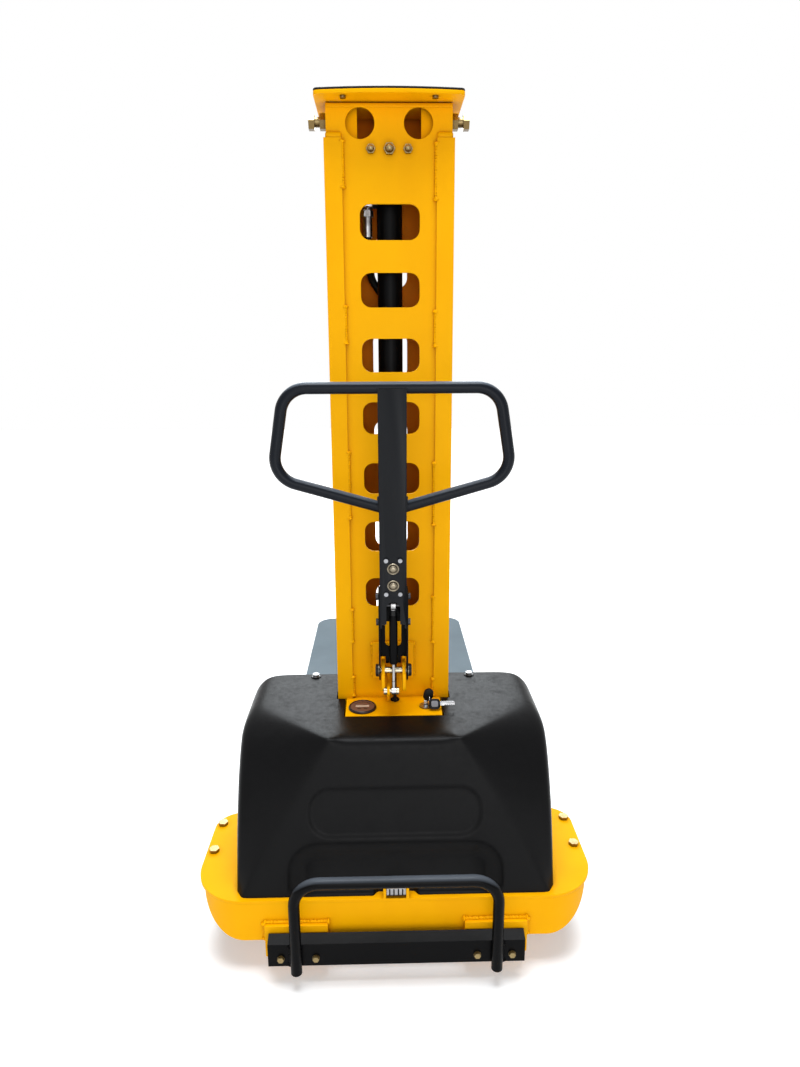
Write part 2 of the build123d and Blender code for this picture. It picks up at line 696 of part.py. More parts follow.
with BuildPart() as inner_mast_plate:
    block((-rail_inner, rail_inner), (at(flange_front - INNER_PLATE), at(flange_front)),
          (INNER_BOTTOM, top_plate_z))
    with BuildSketch(facing(0, flange_front - INNER_PLATE, 0, (0, -1, 0))):
        for number in range(INNER_WINDOW_COUNT):
            with Locations((0, inner_top_window - number * INNER_WINDOW_PITCH)):
                RectangleRounded(INNER_WINDOW_WIDTH, INNER_WINDOW_HEIGHT, INNER_WINDOW_CORNER)
    extrude(amount=-INNER_PLATE, mode=Mode.SUBTRACT)
keep(inner_mast_plate, "inner_mast_plate")

top_rear = MAST_STATION - TOP_PLATE_OVERHANG
top_front = mast_front - FACE
top_screws = ((75.0, top_rear + 16.0), (114.0, top_front - 36.0))
with BuildSketch() as top_outline:
    with BuildLine():
        ThreePointArc((-TOP_PLATE_WIDTH / 2, at(top_rear + TOP_PLATE_BOW)), (0, at(top_rear)),
                      (TOP_PLATE_WIDTH / 2, at(top_rear + TOP_PLATE_BOW)))
        Polyline((TOP_PLATE_WIDTH / 2, at(top_rear + TOP_PLATE_BOW)),
                 (TOP_PLATE_WIDTH / 2, at(top_front)),
                 (-TOP_PLATE_WIDTH / 2, at(top_front)),
                 (-TOP_PLATE_WIDTH / 2, at(top_rear + TOP_PLATE_BOW)))
    make_face()
    fillet(top_outline.vertices(), 9.0)

with BuildPart() as top_plate:
    extrude(Plane.XY.offset(top_plate_z) * top_outline.sketch, amount=TOP_PLATE)
    for side in (-1, 1):
        for x, station in top_screws:
            bar_z(5.0 + 2 * RUN, side * x, at(station),
                  (top_plate_z - FACE, top_plate_z + TOP_PLATE + FACE), Mode.SUBTRACT)
keep(top_plate, "top_plate")

with BuildPart() as top_pad:
    extrude(Plane.XY.offset(top_plate_z + TOP_PLATE) * top_outline.sketch, amount=TOP_PAD)
keep(top_pad, "top_pad")

with BuildPart() as top_pad_screws:
    for side in (-1, 1):
        for x, station in top_screws:
            bar_z(5.0, side * x, at(station), (top_plate_z - FACE, top_plate_z + TOP_PLATE))
            bar_z(10.0, side * x, at(station), (top_plate_z - 4.0, top_plate_z))
keep(top_pad_screws, "top_pad_screws")

# Mast rollers and every axle carried by the lifting mast
roller_station = (plate_front + flange_front) / 2
roller_diameter = flange_front - plate_front - 2 * SLIDE
roller_xs = (rail_outer + ROLLER_SIDE, web_inner - ROLLER_SIDE)
fork_roller_station = fork_tip - FORK_ROLLER_SETBACK
fork_roller_z = FORK_ROLLER_LIFT + FORK_ROLLER / 2
with BuildPart() as mast_rollers:
    for side in (-1, 1):
        bar_x(roller_diameter, (side * roller_xs[0], side * roller_xs[1]), at(roller_station), ROLLER_Z)
        bar_x(ROLLER_PIN + 2 * RUN, (side * rail_outer, side * web_inner), at(roller_station), ROLLER_Z,
              Mode.SUBTRACT)
    fillet(mast_rollers.edges().filter_by(GeomType.CIRCLE).sort_by(SortBy.RADIUS)[-4:], 2.0)
keep(mast_rollers, "mast_rollers")

with BuildPart() as roller_axles:
    for side in (-1, 1):
        bar_x(ROLLER_PIN, (side * rail_outer, side * roller_xs[1]), at(roller_station), ROLLER_Z)
        bar_x(FORK_AXLE, (side * (fork_x - FORK_WIDTH / 2), side * (fork_x + FORK_WIDTH / 2)),
              at(fork_roller_station), fork_roller_z)
keep(roller_axles, "roller_axles")

# Fork carriage and forks
with BuildPart() as fork_carriage:
    block((-carriage_half, carriage_half), (at(carriage_back), at(carriage_front)),
          (leg_top + 2 * PASS, CARRIAGE_TOP))
    block((-rail_outer, rail_outer), (at(flange_front), at(carriage_back)), (INNER_BOTTOM, CARRIAGE_TOP))
keep(fork_carriage, "fork_carriage")

for side, label in ((-1, "left_fork"), (1, "right_fork")):
    with BuildPart() as fork:
        with BuildSketch(Plane.XY.offset(FORK_TOP)) as fork_plan:
            with Locations((side * fork_x, at((carriage_front + fork_tip) / 2))):
                Rectangle(FORK_WIDTH, FORK_LENGTH)
            fillet(fork_plan.vertices().group_by(Axis.Y)[-1], FORK_NOSE)
        extrude(amount=-FORK_DEPTH)
        with BuildSketch(Plane.XY.offset(FORK_TOP - FORK_SHEET)) as fork_bay:
            with Locations((side * fork_x, at((carriage_front + fork_tip) / 2 - FORK_SHEET))):
                Rectangle(FORK_WIDTH - 2 * FORK_SHEET, FORK_LENGTH)
            fillet(fork_bay.vertices().group_by(Axis.Y)[-1], FORK_NOSE - FORK_SHEET)
        extrude(amount=-FORK_DEPTH, mode=Mode.SUBTRACT)
        block((side * fork_x - FORK_WIDTH / 2, side * fork_x + FORK_WIDTH / 2),
              (at(carriage_front), at(carriage_front + FORK_HEEL)), (FORK_TOP - FORK_SHEET, CARRIAGE_TOP))
        bar_x(FORK_AXLE + 2 * RUN, (side * fork_x - FORK_WIDTH, side * fork_x + FORK_WIDTH),
              at(fork_roller_station), fork_roller_z, Mode.SUBTRACT)
    keep(fork, label)

with BuildPart() as fork_rollers:
    for side in (-1, 1):
        ends = (side * fork_x - FORK_ROLLER_WIDTH / 2, side * fork_x + FORK_ROLLER_WIDTH / 2)
        bar_x(FORK_ROLLER, ends, at(fork_roller_station), fork_roller_z)
        bar_x(FORK_AXLE + 2 * RUN, ends, at(fork_roller_station), fork_roller_z, Mode.SUBTRACT)
keep(fork_rollers, "fork_rollers")

# Sliding legs, each with its front axle, and their wheels
leg_wheel_station = LEG_FRONT - LEG_WHEEL_SETBACK
leg_wheel_z = LEG_WHEEL / 2
leg_slot_half = LEG_WHEEL_WIDTH / 2 + 2 * FACE
leg_slot_rear = leg_wheel_station - LEG_WHEEL / 2 - 2 * PASS
cross_bolt_xs = (leg_x - CROSS_BOLT_SPACING / 2, leg_x + CROSS_BOLT_SPACING / 2)
for side, label in ((-1, "left_leg"), (1, "right_leg")):
    leg_sides = (side * leg_x - LEG_WIDTH / 2, side * leg_x + LEG_WIDTH / 2)
    with BuildPart() as leg:
        block(leg_sides, (at(cross_front), at(LEG_FRONT)), (LEG_FLOOR_GAP, leg_top))
        block((leg_sides[0] + LEG_WALL, leg_sides[1] - LEG_WALL),
              (at(cross_front + LEG_END_PLATE), at(leg_slot_rear - 2 * LEG_WALL)),
              (LEG_FLOOR_GAP + LEG_WALL, leg_top - LEG_WALL), Mode.SUBTRACT)
        block((side * leg_x - leg_slot_half, side * leg_x + leg_slot_half),
              (at(leg_slot_rear), at(LEG_FRONT + FACE)),
              (LEG_FLOOR_GAP - FACE, leg_top + FACE), Mode.SUBTRACT)
        prism(Plane.YZ.offset(leg_sides[0]), (
            (at(cross_front), LEG_FLOOR_GAP), (at(cross_front + LEG_CHAMFER), LEG_FLOOR_GAP),
            (at(cross_front), LEG_FLOOR_GAP + LEG_CHAMFER)), LEG_WIDTH, Mode.SUBTRACT)
        bar_x(LEG_AXLE + 2 * RUN, (leg_sides[0] - FACE, leg_sides[1] + FACE), at(leg_wheel_station),
              leg_wheel_z, Mode.SUBTRACT)
        for x in cross_bolt_xs:
            bar_y(CROSS_BOLT + 2 * RUN, side * x,
                  (at(cross_front - FACE), at(cross_front + LEG_END_PLATE + FACE)),
                  CROSS_BOLT_Z, Mode.SUBTRACT)
        bar_x(LEG_AXLE, leg_sides, at(leg_wheel_station), leg_wheel_z)
    keep(leg, label)

for side, label in ((-1, "left_leg_wheel"), (1, "right_leg_wheel")):
    tread = (side * leg_x - LEG_WHEEL_WIDTH / 2, side * leg_x + LEG_WHEEL_WIDTH / 2)
    with BuildPart() as leg_wheel:
        bar_x(LEG_WHEEL, tread, at(leg_wheel_station), leg_wheel_z)
        fillet(leg_wheel.edges().filter_by(GeomType.CIRCLE), 3.0)
        bar_x(LEG_AXLE + 2 * RUN, tread, at(leg_wheel_station), leg_wheel_z, Mode.SUBTRACT)
    keep(leg_wheel, label)

# Cross plate, pull hoop and bolts behind the legs
with BuildPart() as leg_cross_plate:
    prism(Plane.YZ.offset(-cross_half), (
        (at(cross_back), CROSS_BOTTOM), (at(cross_front), CROSS_BOTTOM),
        (at(cross_front), CROSS_BEND - CROSS_SHEET / 2),
        (at(cross_back + CROSS_LIP), CROSS_BEND + CROSS_LIP_RISE - CROSS_SHEET),
        (at(cross_back + CROSS_LIP), CROSS_BEND + CROSS_LIP_RISE), (at(cross_back), CROSS_BEND)),
        2 * cross_half)
    for side in (-1, 1):
        for x in cross_bolt_xs:
            bar_y(CROSS_BOLT + 2 * RUN, side * x, (at(cross_back - FACE), at(cross_front + FACE)),
                  CROSS_BOLT_Z, Mode.SUBTRACT)
keep(leg_cross_plate, "leg_cross_plate")

with BuildPart() as push_hoop:
    with BuildLine() as hoop_run:
        FilletPolyline((-hoop_half, at(hoop_station), HOOP_FOOT),
                       (-hoop_half, at(hoop_station), HOOP_TOP),
                       (hoop_half, at(hoop_station), HOOP_TOP), (hoop_half, at(hoop_station), HOOP_FOOT),
                       radius=HOOP_BEND)
    with BuildSketch(hoop_run.line ^ 0):
        Circle(HOOP_TUBE / 2)
    sweep()
    block((-cross_half, cross_half), (at(cross_back), at(cross_front)),
          (CROSS_BOTTOM - FACE, CROSS_BEND + FACE),
          Mode.SUBTRACT)
keep(push_hoop, "push_hoop")

with BuildPart() as cross_plate_bolts:
    for side in (-1, 1):
        for x in cross_bolt_xs:
            bar_y(CROSS_BOLT, side * x, (at(cross_back), at(cross_front + LEG_END_PLATE)), CROSS_BOLT_Z)
            bar_y(CROSS_WASHER, side * x, (at(cross_back - 2.0), at(cross_back)), CROSS_BOLT_Z)
            hexagon(facing(side * x, cross_back - 2.0, CROSS_BOLT_Z, (0, -1, 0)), 1.7 * CROSS_BOLT,
                    0.64 * CROSS_BOLT)
keep(cross_plate_bolts, "cross_plate_bolts")

# Casters: plate and kingpin on the base, swivelling fork with its axle, wheel
plate_under = base_under - CASTER_SHEET
race_under = plate_under - CASTER_RACE_DEPTH
crown_top = race_under - SLIDE
crown_under = crown_top - CASTER_CROWN
axle_z = CASTER_WHEEL / 2
axle_station = CASTER_STATION - CASTER_TRAIL
fork_half = CASTER_WHEEL_WIDTH / 2 + 2.5
with BuildPart() as caster_plates:
    for side in (-1, 1):
        centre = side * caster_x
        half = CASTER_PLATE_SIZE / 2
        block((centre - half, centre + half), (at(CASTER_STATION - half), at(CASTER_STATION + half)),
              (plate_under, base_under))
        bar_z(CASTER_RACE, centre, at(CASTER_STATION), (race_under, plate_under))
        bar_z(KINGPIN, centre, at(CASTER_STATION), (crown_under - SLIDE, race_under))
        bar_z(2 * KINGPIN, centre, at(CASTER_STATION),
              (crown_under - SLIDE - 0.5 * KINGPIN, crown_under - SLIDE))
        with Locations((centre, at(CASTER_STATION), base_under)):
            with GridLocations(CASTER_BOLT_SPACING, CASTER_BOLT_SPACING, 2, 2):
                Hole(caster_bolt_hole / 2, CASTER_SHEET)
keep(caster_plates, "caster_plates")

with BuildPart() as caster_bolts:
    for side in (-1, 1):
        for across in (-1, 1):
            for along in (-1, 1):
                x = side * caster_x + across * CASTER_BOLT_SPACING / 2
                station = CASTER_STATION + along * CASTER_BOLT_SPACING / 2
                bar_z(CASTER_BOLT, x, at(station), (plate_under - CASTER_BOLT, BASE_TOP))
                hexagon(facing(x, station, BASE_TOP, (0, 0, 1)), bolt_flats, 0.64 * CASTER_BOLT)
                hexagon(facing(x, station, plate_under, (0, 0, -1)), bolt_flats, 0.8 * CASTER_BOLT)
keep(caster_bolts, "caster_bolts")

for side, label in ((-1, "left_caster_fork"), (1, "right_caster_fork")):
    centre = side * caster_x
    with BuildPart() as caster_fork:
        bar_z(CASTER_RACE + 8.0, centre, at(CASTER_STATION), (crown_under, crown_top))
        for cheek in (-1, 1):
            inner = centre + cheek * fork_half
            outer = inner + cheek * CASTER_FORK_SHEET
            prism(Plane.YZ.offset(min(inner, outer)), (
                (at(axle_station - 4.0), crown_top), (at(CASTER_STATION + 24.0), crown_top),
                (at(axle_station + 15.0), axle_z - 12.0), (at(axle_station - 15.0), axle_z - 12.0)),
                CASTER_FORK_SHEET)
            bar_x(1.8 * CASTER_AXLE, (outer, outer + cheek * 6.0), at(axle_station), axle_z)
        bar_z(KINGPIN + 2 * RUN, centre, at(CASTER_STATION), (crown_under - FACE, crown_top + FACE),
              Mode.SUBTRACT)
        bar_x(CASTER_AXLE, (centre - fork_half, centre + fork_half), at(axle_station), axle_z)
    keep(caster_fork, label)

for side, label in ((-1, "left_caster_wheel"), (1, "right_caster_wheel")):
    tread = (side * caster_x - CASTER_WHEEL_WIDTH / 2, side * caster_x + CASTER_WHEEL_WIDTH / 2)
    with BuildPart() as caster_wheel:
        bar_x(CASTER_WHEEL, tread, at(axle_station), axle_z)
        fillet(caster_wheel.edges().filter_by(GeomType.CIRCLE), 5.0)
        bar_x(CASTER_AXLE + 2 * RUN, tread, at(axle_station), axle_z, Mode.SUBTRACT)
    keep(caster_wheel, label)

# Rear cover: a moulded shell whose rear panel leans forward and whose wings sweep back to the deck
cover_height = COVER_TOP - BASE_TOP
panel_run = COVER_RIDGE_STATION - COVER_REAR
panel_lean = panel_run / cover_height


def cover_plan(level, inset):
    # Plan of the cover at a share of its height, drawn in by the wall when inset is not zero.
    ridge_half = cover_foot_half + (COVER_RIDGE_HALF - cover_foot_half) * level
    ridge = COVER_REAR + panel_run * level + inset
    sweep_back = 1.0 - sqrt(1.0 - level * level)
    wing = COVER_SIDE_STATION + (COVER_WING_STATION - COVER_SIDE_STATION) * sweep_back + inset
    rise = max(0.0, COVER_SHOULDER - cover_height * (1.0 - level))
    half = cover_half - inset - COVER_SHOULDER + sqrt(COVER_SHOULDER ** 2 - rise ** 2)
    ridge_half = ridge_half - inset / 2
    front = cover_front - inset
    with BuildSketch(Plane.XY.offset(BASE_TOP + cover_height * level)) as plan:
        with BuildLine():
            Polyline((-half, at(front)), (-half, at(wing)), (-ridge_half, at(ridge)),
                     (ridge_half, at(ridge)), (half, at(wing)), (half, at(front)), close=True)
        make_face()
    return plan.sketch


def cover_trim(inset):
    # Rounded plan that takes the sharp upright corners off the cover.
    with BuildSketch(Plane.XY.offset(BASE_TOP - FACE)) as plan:
        with Locations((0, (at(COVER_REAR - FACE) + at(cover_front - inset)) / 2)):
            Rectangle(2 * cover_half - 2 * inset, cover_front - inset - COVER_REAR + FACE)
        fillet(plan.vertices().group_by(Axis.Y)[-1], COVER_FRONT_CORNER - inset)
        fillet(plan.vertices().group_by(Axis.Y)[0], COVER_REAR_CORNER - inset)
    return plan.sketch


def panel_recess(top, width, height, corner, depth, grow):
    # Rounded rectangle sunk into the leaning rear panel, hung from a height on it, grown all round.
    panel = Plane(origin=(0, at(COVER_REAR + panel_lean * (top - BASE_TOP)), top),
                  x_dir=(1, 0, 0), z_dir=(0, -1, panel_lean))
    with BuildSketch(panel.offset(PASS)) as shape:
        with Locations((0, -height / 2)):
            RectangleRounded(width + 2 * grow, height + 2 * grow, corner + grow)
    extrude(shape.sketch, amount=-(PASS + depth + grow), mode=Mode.SUBTRACT)


def cover_recesses(grow):
    # A shallow stadium on the panel, and a deeper pocket round the latch that runs out at the deck.
    panel_recess(COVER_RECESS_TOP, COVER_RECESS_WIDTH, COVER_RECESS_HEIGHT, COVER_RECESS_CORNER,
                 COVER_RECESS_DEPTH, grow)
    panel_recess(COVER_POCKET_TOP, COVER_POCKET_WIDTH, 2 * (COVER_POCKET_TOP - BASE_TOP),
                 COVER_POCKET_CORNER, COVER_POCKET_DEPTH, grow)


with BuildPart() as cover_hollow:
    loft([cover_plan(level, COVER_WALL) for level in COVER_LEVELS], ruled=False)
    extrude(cover_trim(COVER_WALL), amount=cover_height - COVER_WALL + FACE, mode=Mode.INTERSECT)
    cover_recesses(COVER_WALL)

with BuildPart() as rear_cover:
    loft([cover_plan(level, 0) for level in COVER_LEVELS], ruled=False)
    extrude(cover_trim(0), amount=cover_height + 2 * FACE, mode=Mode.INTERSECT)
    cover_recesses(0)
    add(cover_hollow.part, mode=Mode.SUBTRACT)
    block((-SHELF_WIDTH / 2 - PASS, SHELF_WIDTH / 2 + PASS), (at(shelf_rear - PASS), at(MAST_STATION)),
          (COVER_TOP - 2 * SHELF_LIP, COVER_TOP + FACE), Mode.SUBTRACT)
    block((-MAST_WIDTH / 2 - PASS, MAST_WIDTH / 2 + PASS),
          (at(MAST_STATION - PASS), at(cover_front + FACE)),
          (BASE_TOP - FACE, COVER_TOP + FACE), Mode.SUBTRACT)
    for side in (-1, 1):
        bar_z(COVER_BOLT_HOLE, side * COVER_SCREW_X, at(cover_screw_station),
              (tab_top - FACE, COVER_TOP + FACE), Mode.SUBTRACT)
keep(rear_cover, "rear_cover")

cover_bolt_top = COVER_TOP + COVER_WASHER_THICK + COVER_BOLT_HEAD_THICK
with BuildPart() as cover_bolts:
    for side in (-1, 1):
        x = side * COVER_SCREW_X
        y = at(cover_screw_station)
        bar_z(COVER_BOLT, x, y, (tab_top - TAB_SHEET, COVER_TOP))
        bar_z(COVER_WASHER, x, y, (COVER_TOP, COVER_TOP + COVER_WASHER_THICK))
        bar_z(COVER_BOLT_HEAD, x, y, (COVER_TOP + COVER_WASHER_THICK, cover_bolt_top))
keep(cover_bolts, "cover_bolts")

# Latch of the cover, a plate that swings rearward on the pin between the tabs
with BuildPart() as cover_latch:
    half = LATCH_HALF - FACE
    block((-half, half), (at(latch_station - LATCH_PLATE), at(latch_station + LATCH_PLATE / 2)),
          (latch_pin_z, BASE_TOP + LATCH_HEIGHT))
    bar_x(2 * LATCH_PLATE, (-half, half), at(latch_station), latch_pin_z)
    bar_x(LATCH_PIN + 2 * RUN, (-half, half), at(latch_station), latch_pin_z, Mode.SUBTRACT)
keep(cover_latch, "cover_latch")

# Instrument shelf with gauge, key switch and keys
shelf_under = COVER_TOP - SHELF_SHEET
tongue_half = MAST_WIDTH / 2 - CHANNEL_FLANGE - FACE
with BuildPart() as instrument_shelf:
    block((-SHELF_WIDTH / 2, SHELF_WIDTH / 2), (at(shelf_rear), at(MAST_STATION)),
          (shelf_under, COVER_TOP))
    block((-tongue_half, tongue_half), (at(MAST_STATION), at(plate_back)), (shelf_under, COVER_TOP))
    block((-SHELF_WIDTH / 2, SHELF_WIDTH / 2), (at(shelf_rear), at(shelf_rear + SHELF_SHEET)),
          (COVER_TOP - SHELF_LIP, COVER_TOP))
    bar_z(GAUGE_BODY + 2 * RUN, GAUGE_X, at(GAUGE_STATION), (shelf_under - FACE, COVER_TOP + FACE),
          Mode.SUBTRACT)
    bar_z(LOCK_BODY + 2 * RUN, KEY_X, at(KEY_STATION), (shelf_under - FACE, COVER_TOP + FACE),
          Mode.SUBTRACT)
    bar_z(CABLE + 2 * RUN, CABLE_X, at(CABLE_STATION), (shelf_under - FACE, COVER_TOP + FACE),
          Mode.SUBTRACT)
keep(instrument_shelf, "instrument_shelf")

with BuildPart() as battery_gauge:
    bar_z(GAUGE_BODY, GAUGE_X, at(GAUGE_STATION), (COVER_TOP - GAUGE_DEPTH, COVER_TOP))
    bar_z(GAUGE_BEZEL, GAUGE_X, at(GAUGE_STATION), (COVER_TOP, COVER_TOP + GAUGE_PROUD))
    bar_z(GAUGE_BEZEL - 8.0, GAUGE_X, at(GAUGE_STATION),
          (COVER_TOP + GAUGE_PROUD - 1.5, COVER_TOP + GAUGE_PROUD + FACE), Mode.SUBTRACT)
keep(battery_gauge, "battery_gauge")

with BuildPart() as key_switch:
    bar_z(LOCK_BODY, KEY_X, at(KEY_STATION), (COVER_TOP - LOCK_DEPTH, COVER_TOP))
    bar_z(LOCK_NUT, KEY_X, at(KEY_STATION), (COVER_TOP, COVER_TOP + LOCK_COLLAR))
    bar_z(LOCK_PLUG + 2 * RUN, KEY_X, at(KEY_STATION),
          (COVER_TOP - PLUG_DEPTH - FACE, COVER_TOP + LOCK_COLLAR + FACE), Mode.SUBTRACT)
keep(key_switch, "key_switch")

key_bow_z = COVER_TOP + LOCK_COLLAR + 8.0
key_eye = (KEY_X + 6.5, key_bow_z + 12.0)
spare_eye = (KEY_X + 6.5, KEY_STATION - KEY_RING / 2, key_eye[1] - KEY_RING / 2)
with BuildPart() as key_set:
    bar_z(LOCK_PLUG, KEY_X, at(KEY_STATION), (COVER_TOP - PLUG_DEPTH, COVER_TOP + LOCK_COLLAR + FACE))
    block((KEY_X - 4.0, KEY_X + 4.0), (at(KEY_STATION - 1.0), at(KEY_STATION + 1.0)),
          (COVER_TOP + LOCK_COLLAR, key_bow_z))
    block((KEY_X - KEY_BOW / 2, KEY_X + KEY_BOW / 2),
          (at(KEY_STATION - KEY_BOW_THICK / 2), at(KEY_STATION + KEY_BOW_THICK / 2)),
          (key_bow_z, key_bow_z + KEY_BOW))
    fillet(key_set.edges().filter_by(Axis.Y).group_by(Axis.Z)[-1], 7.0)
    bar_y(KEY_EYE, key_eye[0], (at(KEY_STATION - KEY_BOW_THICK), at(KEY_STATION + KEY_BOW_THICK)),
          key_eye[1], Mode.SUBTRACT)
    block((spare_eye[0] - 4.0, spare_eye[0] + 17.0), (at(spare_eye[1] - 14.0), at(spare_eye[1] + 4.0)),
          (spare_eye[2] - 2.0, spare_eye[2] + 2.0))
    block((spare_eye[0] + 17.0, spare_eye[0] + 46.0), (at(spare_eye[1] - 9.0), at(spare_eye[1] - 1.0)),
          (spare_eye[2] - 1.0, spare_eye[2] + 1.0))
    bar_z(KEY_EYE, spare_eye[0], at(spare_eye[1]), (spare_eye[2] - 4.0, spare_eye[2] + 4.0),
          Mode.SUBTRACT)
    with Locations((key_eye[0], at(KEY_STATION), spare_eye[2])):
        Torus(KEY_RING / 2, KEY_WIRE / 2, rotation=(0, 90, 0))
keep(key_set, "key_set")

# Tiller bracket on the mast plate, pivot bolts, cable below the pivot
yoke_inner = EAR_INNER + EAR_SHEET + 1.5
yoke_outer = yoke_inner + YOKE_SHEET
spring_low_station = PIVOT_STATION - SPRING_OFFSET
spring_low_z = PIVOT_Z - SPRING_DROP
bracket_face = plate_back - BRACKET_PLATE
bolt_end = yoke_outer + HEAD_CLEAR
with BuildPart() as tiller_bracket:
    block((-BRACKET_HALF, BRACKET_HALF), (at(bracket_face), at(plate_back)),
          (PIVOT_Z - EAR_DROP - 8.0, PIVOT_Z + EAR_ROUND + 12.0))
    for side in (-1, 1):
        ear = (side * EAR_INNER, side * (EAR_INNER + EAR_SHEET))
        block(ear, (at(PIVOT_STATION), at(bracket_face)), (PIVOT_Z - EAR_ROUND, PIVOT_Z + EAR_ROUND))
        prism(Plane.YZ.offset(min(ear)), (
            (at(PIVOT_STATION), PIVOT_Z - EAR_ROUND), (at(bracket_face), PIVOT_Z - EAR_ROUND),
            (at(bracket_face), PIVOT_Z - EAR_DROP), (at(bracket_face - 30.0), PIVOT_Z - EAR_DROP)),
            EAR_SHEET)
        bar_x(2 * EAR_ROUND, ear, at(PIVOT_STATION), PIVOT_Z)
        bar_x(PIVOT_BOLT + 2 * RUN, ear, at(PIVOT_STATION), PIVOT_Z, Mode.SUBTRACT)
    block((TAB_NEAR, TAB_FAR), (at(spring_low_station), at(bracket_face)),
          (spring_low_z - TAB_ROUND, spring_low_z + TAB_ROUND))
    bar_x(2 * TAB_ROUND, (TAB_NEAR, TAB_FAR), at(spring_low_station), spring_low_z)
    bar_x(SPRING_BOLT + 2 * RUN, (TAB_NEAR - FACE, TAB_FAR + FACE), at(spring_low_station), spring_low_z,
          Mode.SUBTRACT)
keep(tiller_bracket, "tiller_bracket")

spring_half = 4.0
with BuildPart() as tiller_pivots:
    bar_x(PIVOT_BOLT, (-bolt_end, bolt_end), at(PIVOT_STATION), PIVOT_Z)
    for side in (-1, 1):
        bar_x(BOLT_HEAD, (side * bolt_end, side * (bolt_end + BOLT_HEAD_THICK)), at(PIVOT_STATION),
              PIVOT_Z)
    fillet(tiller_pivots.edges().group_by(Axis.X)[0], 3.0)
    fillet(tiller_pivots.edges().group_by(Axis.X)[-1], 3.0)
    bar_x(SPRING_BOLT, (TAB_NEAR - 6.0, spring_half + SLIDE), at(spring_low_station), spring_low_z)
    bar_x(14.0, (TAB_NEAR - 6.0, TAB_NEAR), at(spring_low_station), spring_low_z)
    bar_x(14.0, (spring_half + SLIDE, spring_half + SLIDE + 5.0), at(spring_low_station), spring_low_z)
keep(tiller_pivots, "tiller_pivots")

cable_top = PIVOT_Z + 14.0
cable_behind = PIVOT_STATION + 26.0
with BuildPart() as shelf_cable:
    with BuildLine() as lower_run:
        FilletPolyline((CABLE_X, at(CABLE_STATION), COVER_TOP - 60.0),
                       (CABLE_X, at(CABLE_STATION), PIVOT_Z - 40.0),
                       (CABLE_X, at(cable_behind), PIVOT_Z - 10.0),
                       (CABLE_X, at(cable_behind), cable_top), radius=12.0)
    with BuildSketch(lower_run.line ^ 0):
        Circle(CABLE / 2)
    sweep()
keep(shelf_cable, "shelf_cable")

# Tiller, drawn on a plane that holds the pivot axis: across, up the stem, towards the operator
lean = radians(TILLER_LEAN)
tiller_plane = Plane(origin=(0, at(PIVOT_STATION), PIVOT_Z), x_dir=(1, 0, 0),
                     z_dir=(0, -cos(lean), -sin(lean)))


def tiller_block(across, up, out, mode=Mode.ADD):
    middle = Pos((across[0] + across[1]) / 2, (up[0] + up[1]) / 2, (out[0] + out[1]) / 2)
    with Locations(tiller_plane.location * middle):
        Box(abs(across[1] - across[0]), up[1] - up[0], out[1] - out[0], mode=mode)


def tiller_bar(diameter, across, up, out, mode=Mode.ADD):
    with Locations(tiller_plane.location * Pos((across[0] + across[1]) / 2, up, out)):
        Cylinder(diameter / 2, abs(across[1] - across[0]), rotation=(0, 90, 0), mode=mode)


def tiller_post(diameter, across, up, out, mode=Mode.ADD):
    with Locations(tiller_plane.location * Pos(across, up, (out[0] + out[1]) / 2)):
        Cylinder(diameter / 2, out[1] - out[0], mode=mode)


stem_half = STEM_WIDTH / 2
stem_inner = stem_half - STEM_SHEET
face_back = STEM_FACE - STEM_SHEET
panel_screw = 4.0
with BuildPart() as tiller_stem:
    for side in (-1, 1):
        tiller_block((side * stem_inner, side * stem_half), (STEM_FOOT, LOOP_TOP), (STEM_BACK, STEM_FACE))
    tiller_block((-stem_half, stem_half), (FACE_FOOT, LOOP_TOP), (face_back, STEM_FACE))
    slot_round = FACE_SLOT_TOP - FACE_SLOT_WIDTH / 2
    tiller_block((-FACE_SLOT_WIDTH / 2, FACE_SLOT_WIDTH / 2), (FACE_FOOT - FACE, slot_round),
                 (face_back - FACE, STEM_FACE + FACE), Mode.SUBTRACT)
    tiller_post(FACE_SLOT_WIDTH, 0, slot_round, (face_back - FACE, STEM_FACE + FACE), Mode.SUBTRACT)
    tiller_bar(LOOP_TUBE, (-stem_half - FACE, stem_half + FACE), LOOP_TOP, LOOP_FACE, Mode.SUBTRACT)
    for button in (RAISE_BUTTON, LOWER_BUTTON):
        tiller_post(BUTTON_BARREL + 2 * RUN, 0, button, (face_back - FACE, STEM_FACE + FACE),
                    Mode.SUBTRACT)
    for side in (-1, 1):
        for up in PANEL_SCREWS:
            tiller_post(panel_screw + 2 * RUN, side * PANEL_SCREW_X, up,
                        (face_back - FACE, STEM_FACE + FACE), Mode.SUBTRACT)
        for up in YOKE_BOLTS:
            tiller_bar(YOKE_BOLT + 2 * RUN, (side * (stem_inner - FACE), side * (stem_half + FACE)), up,
                       YOKE_BOLT_OUT, Mode.SUBTRACT)
    tiller_bar(SPRING_TOP_PIN + 2 * RUN, (-stem_half - FACE, stem_half + FACE), SPRING_TOP,
               SPRING_TOP_FACE, Mode.SUBTRACT)
keep(tiller_stem, "tiller_stem")

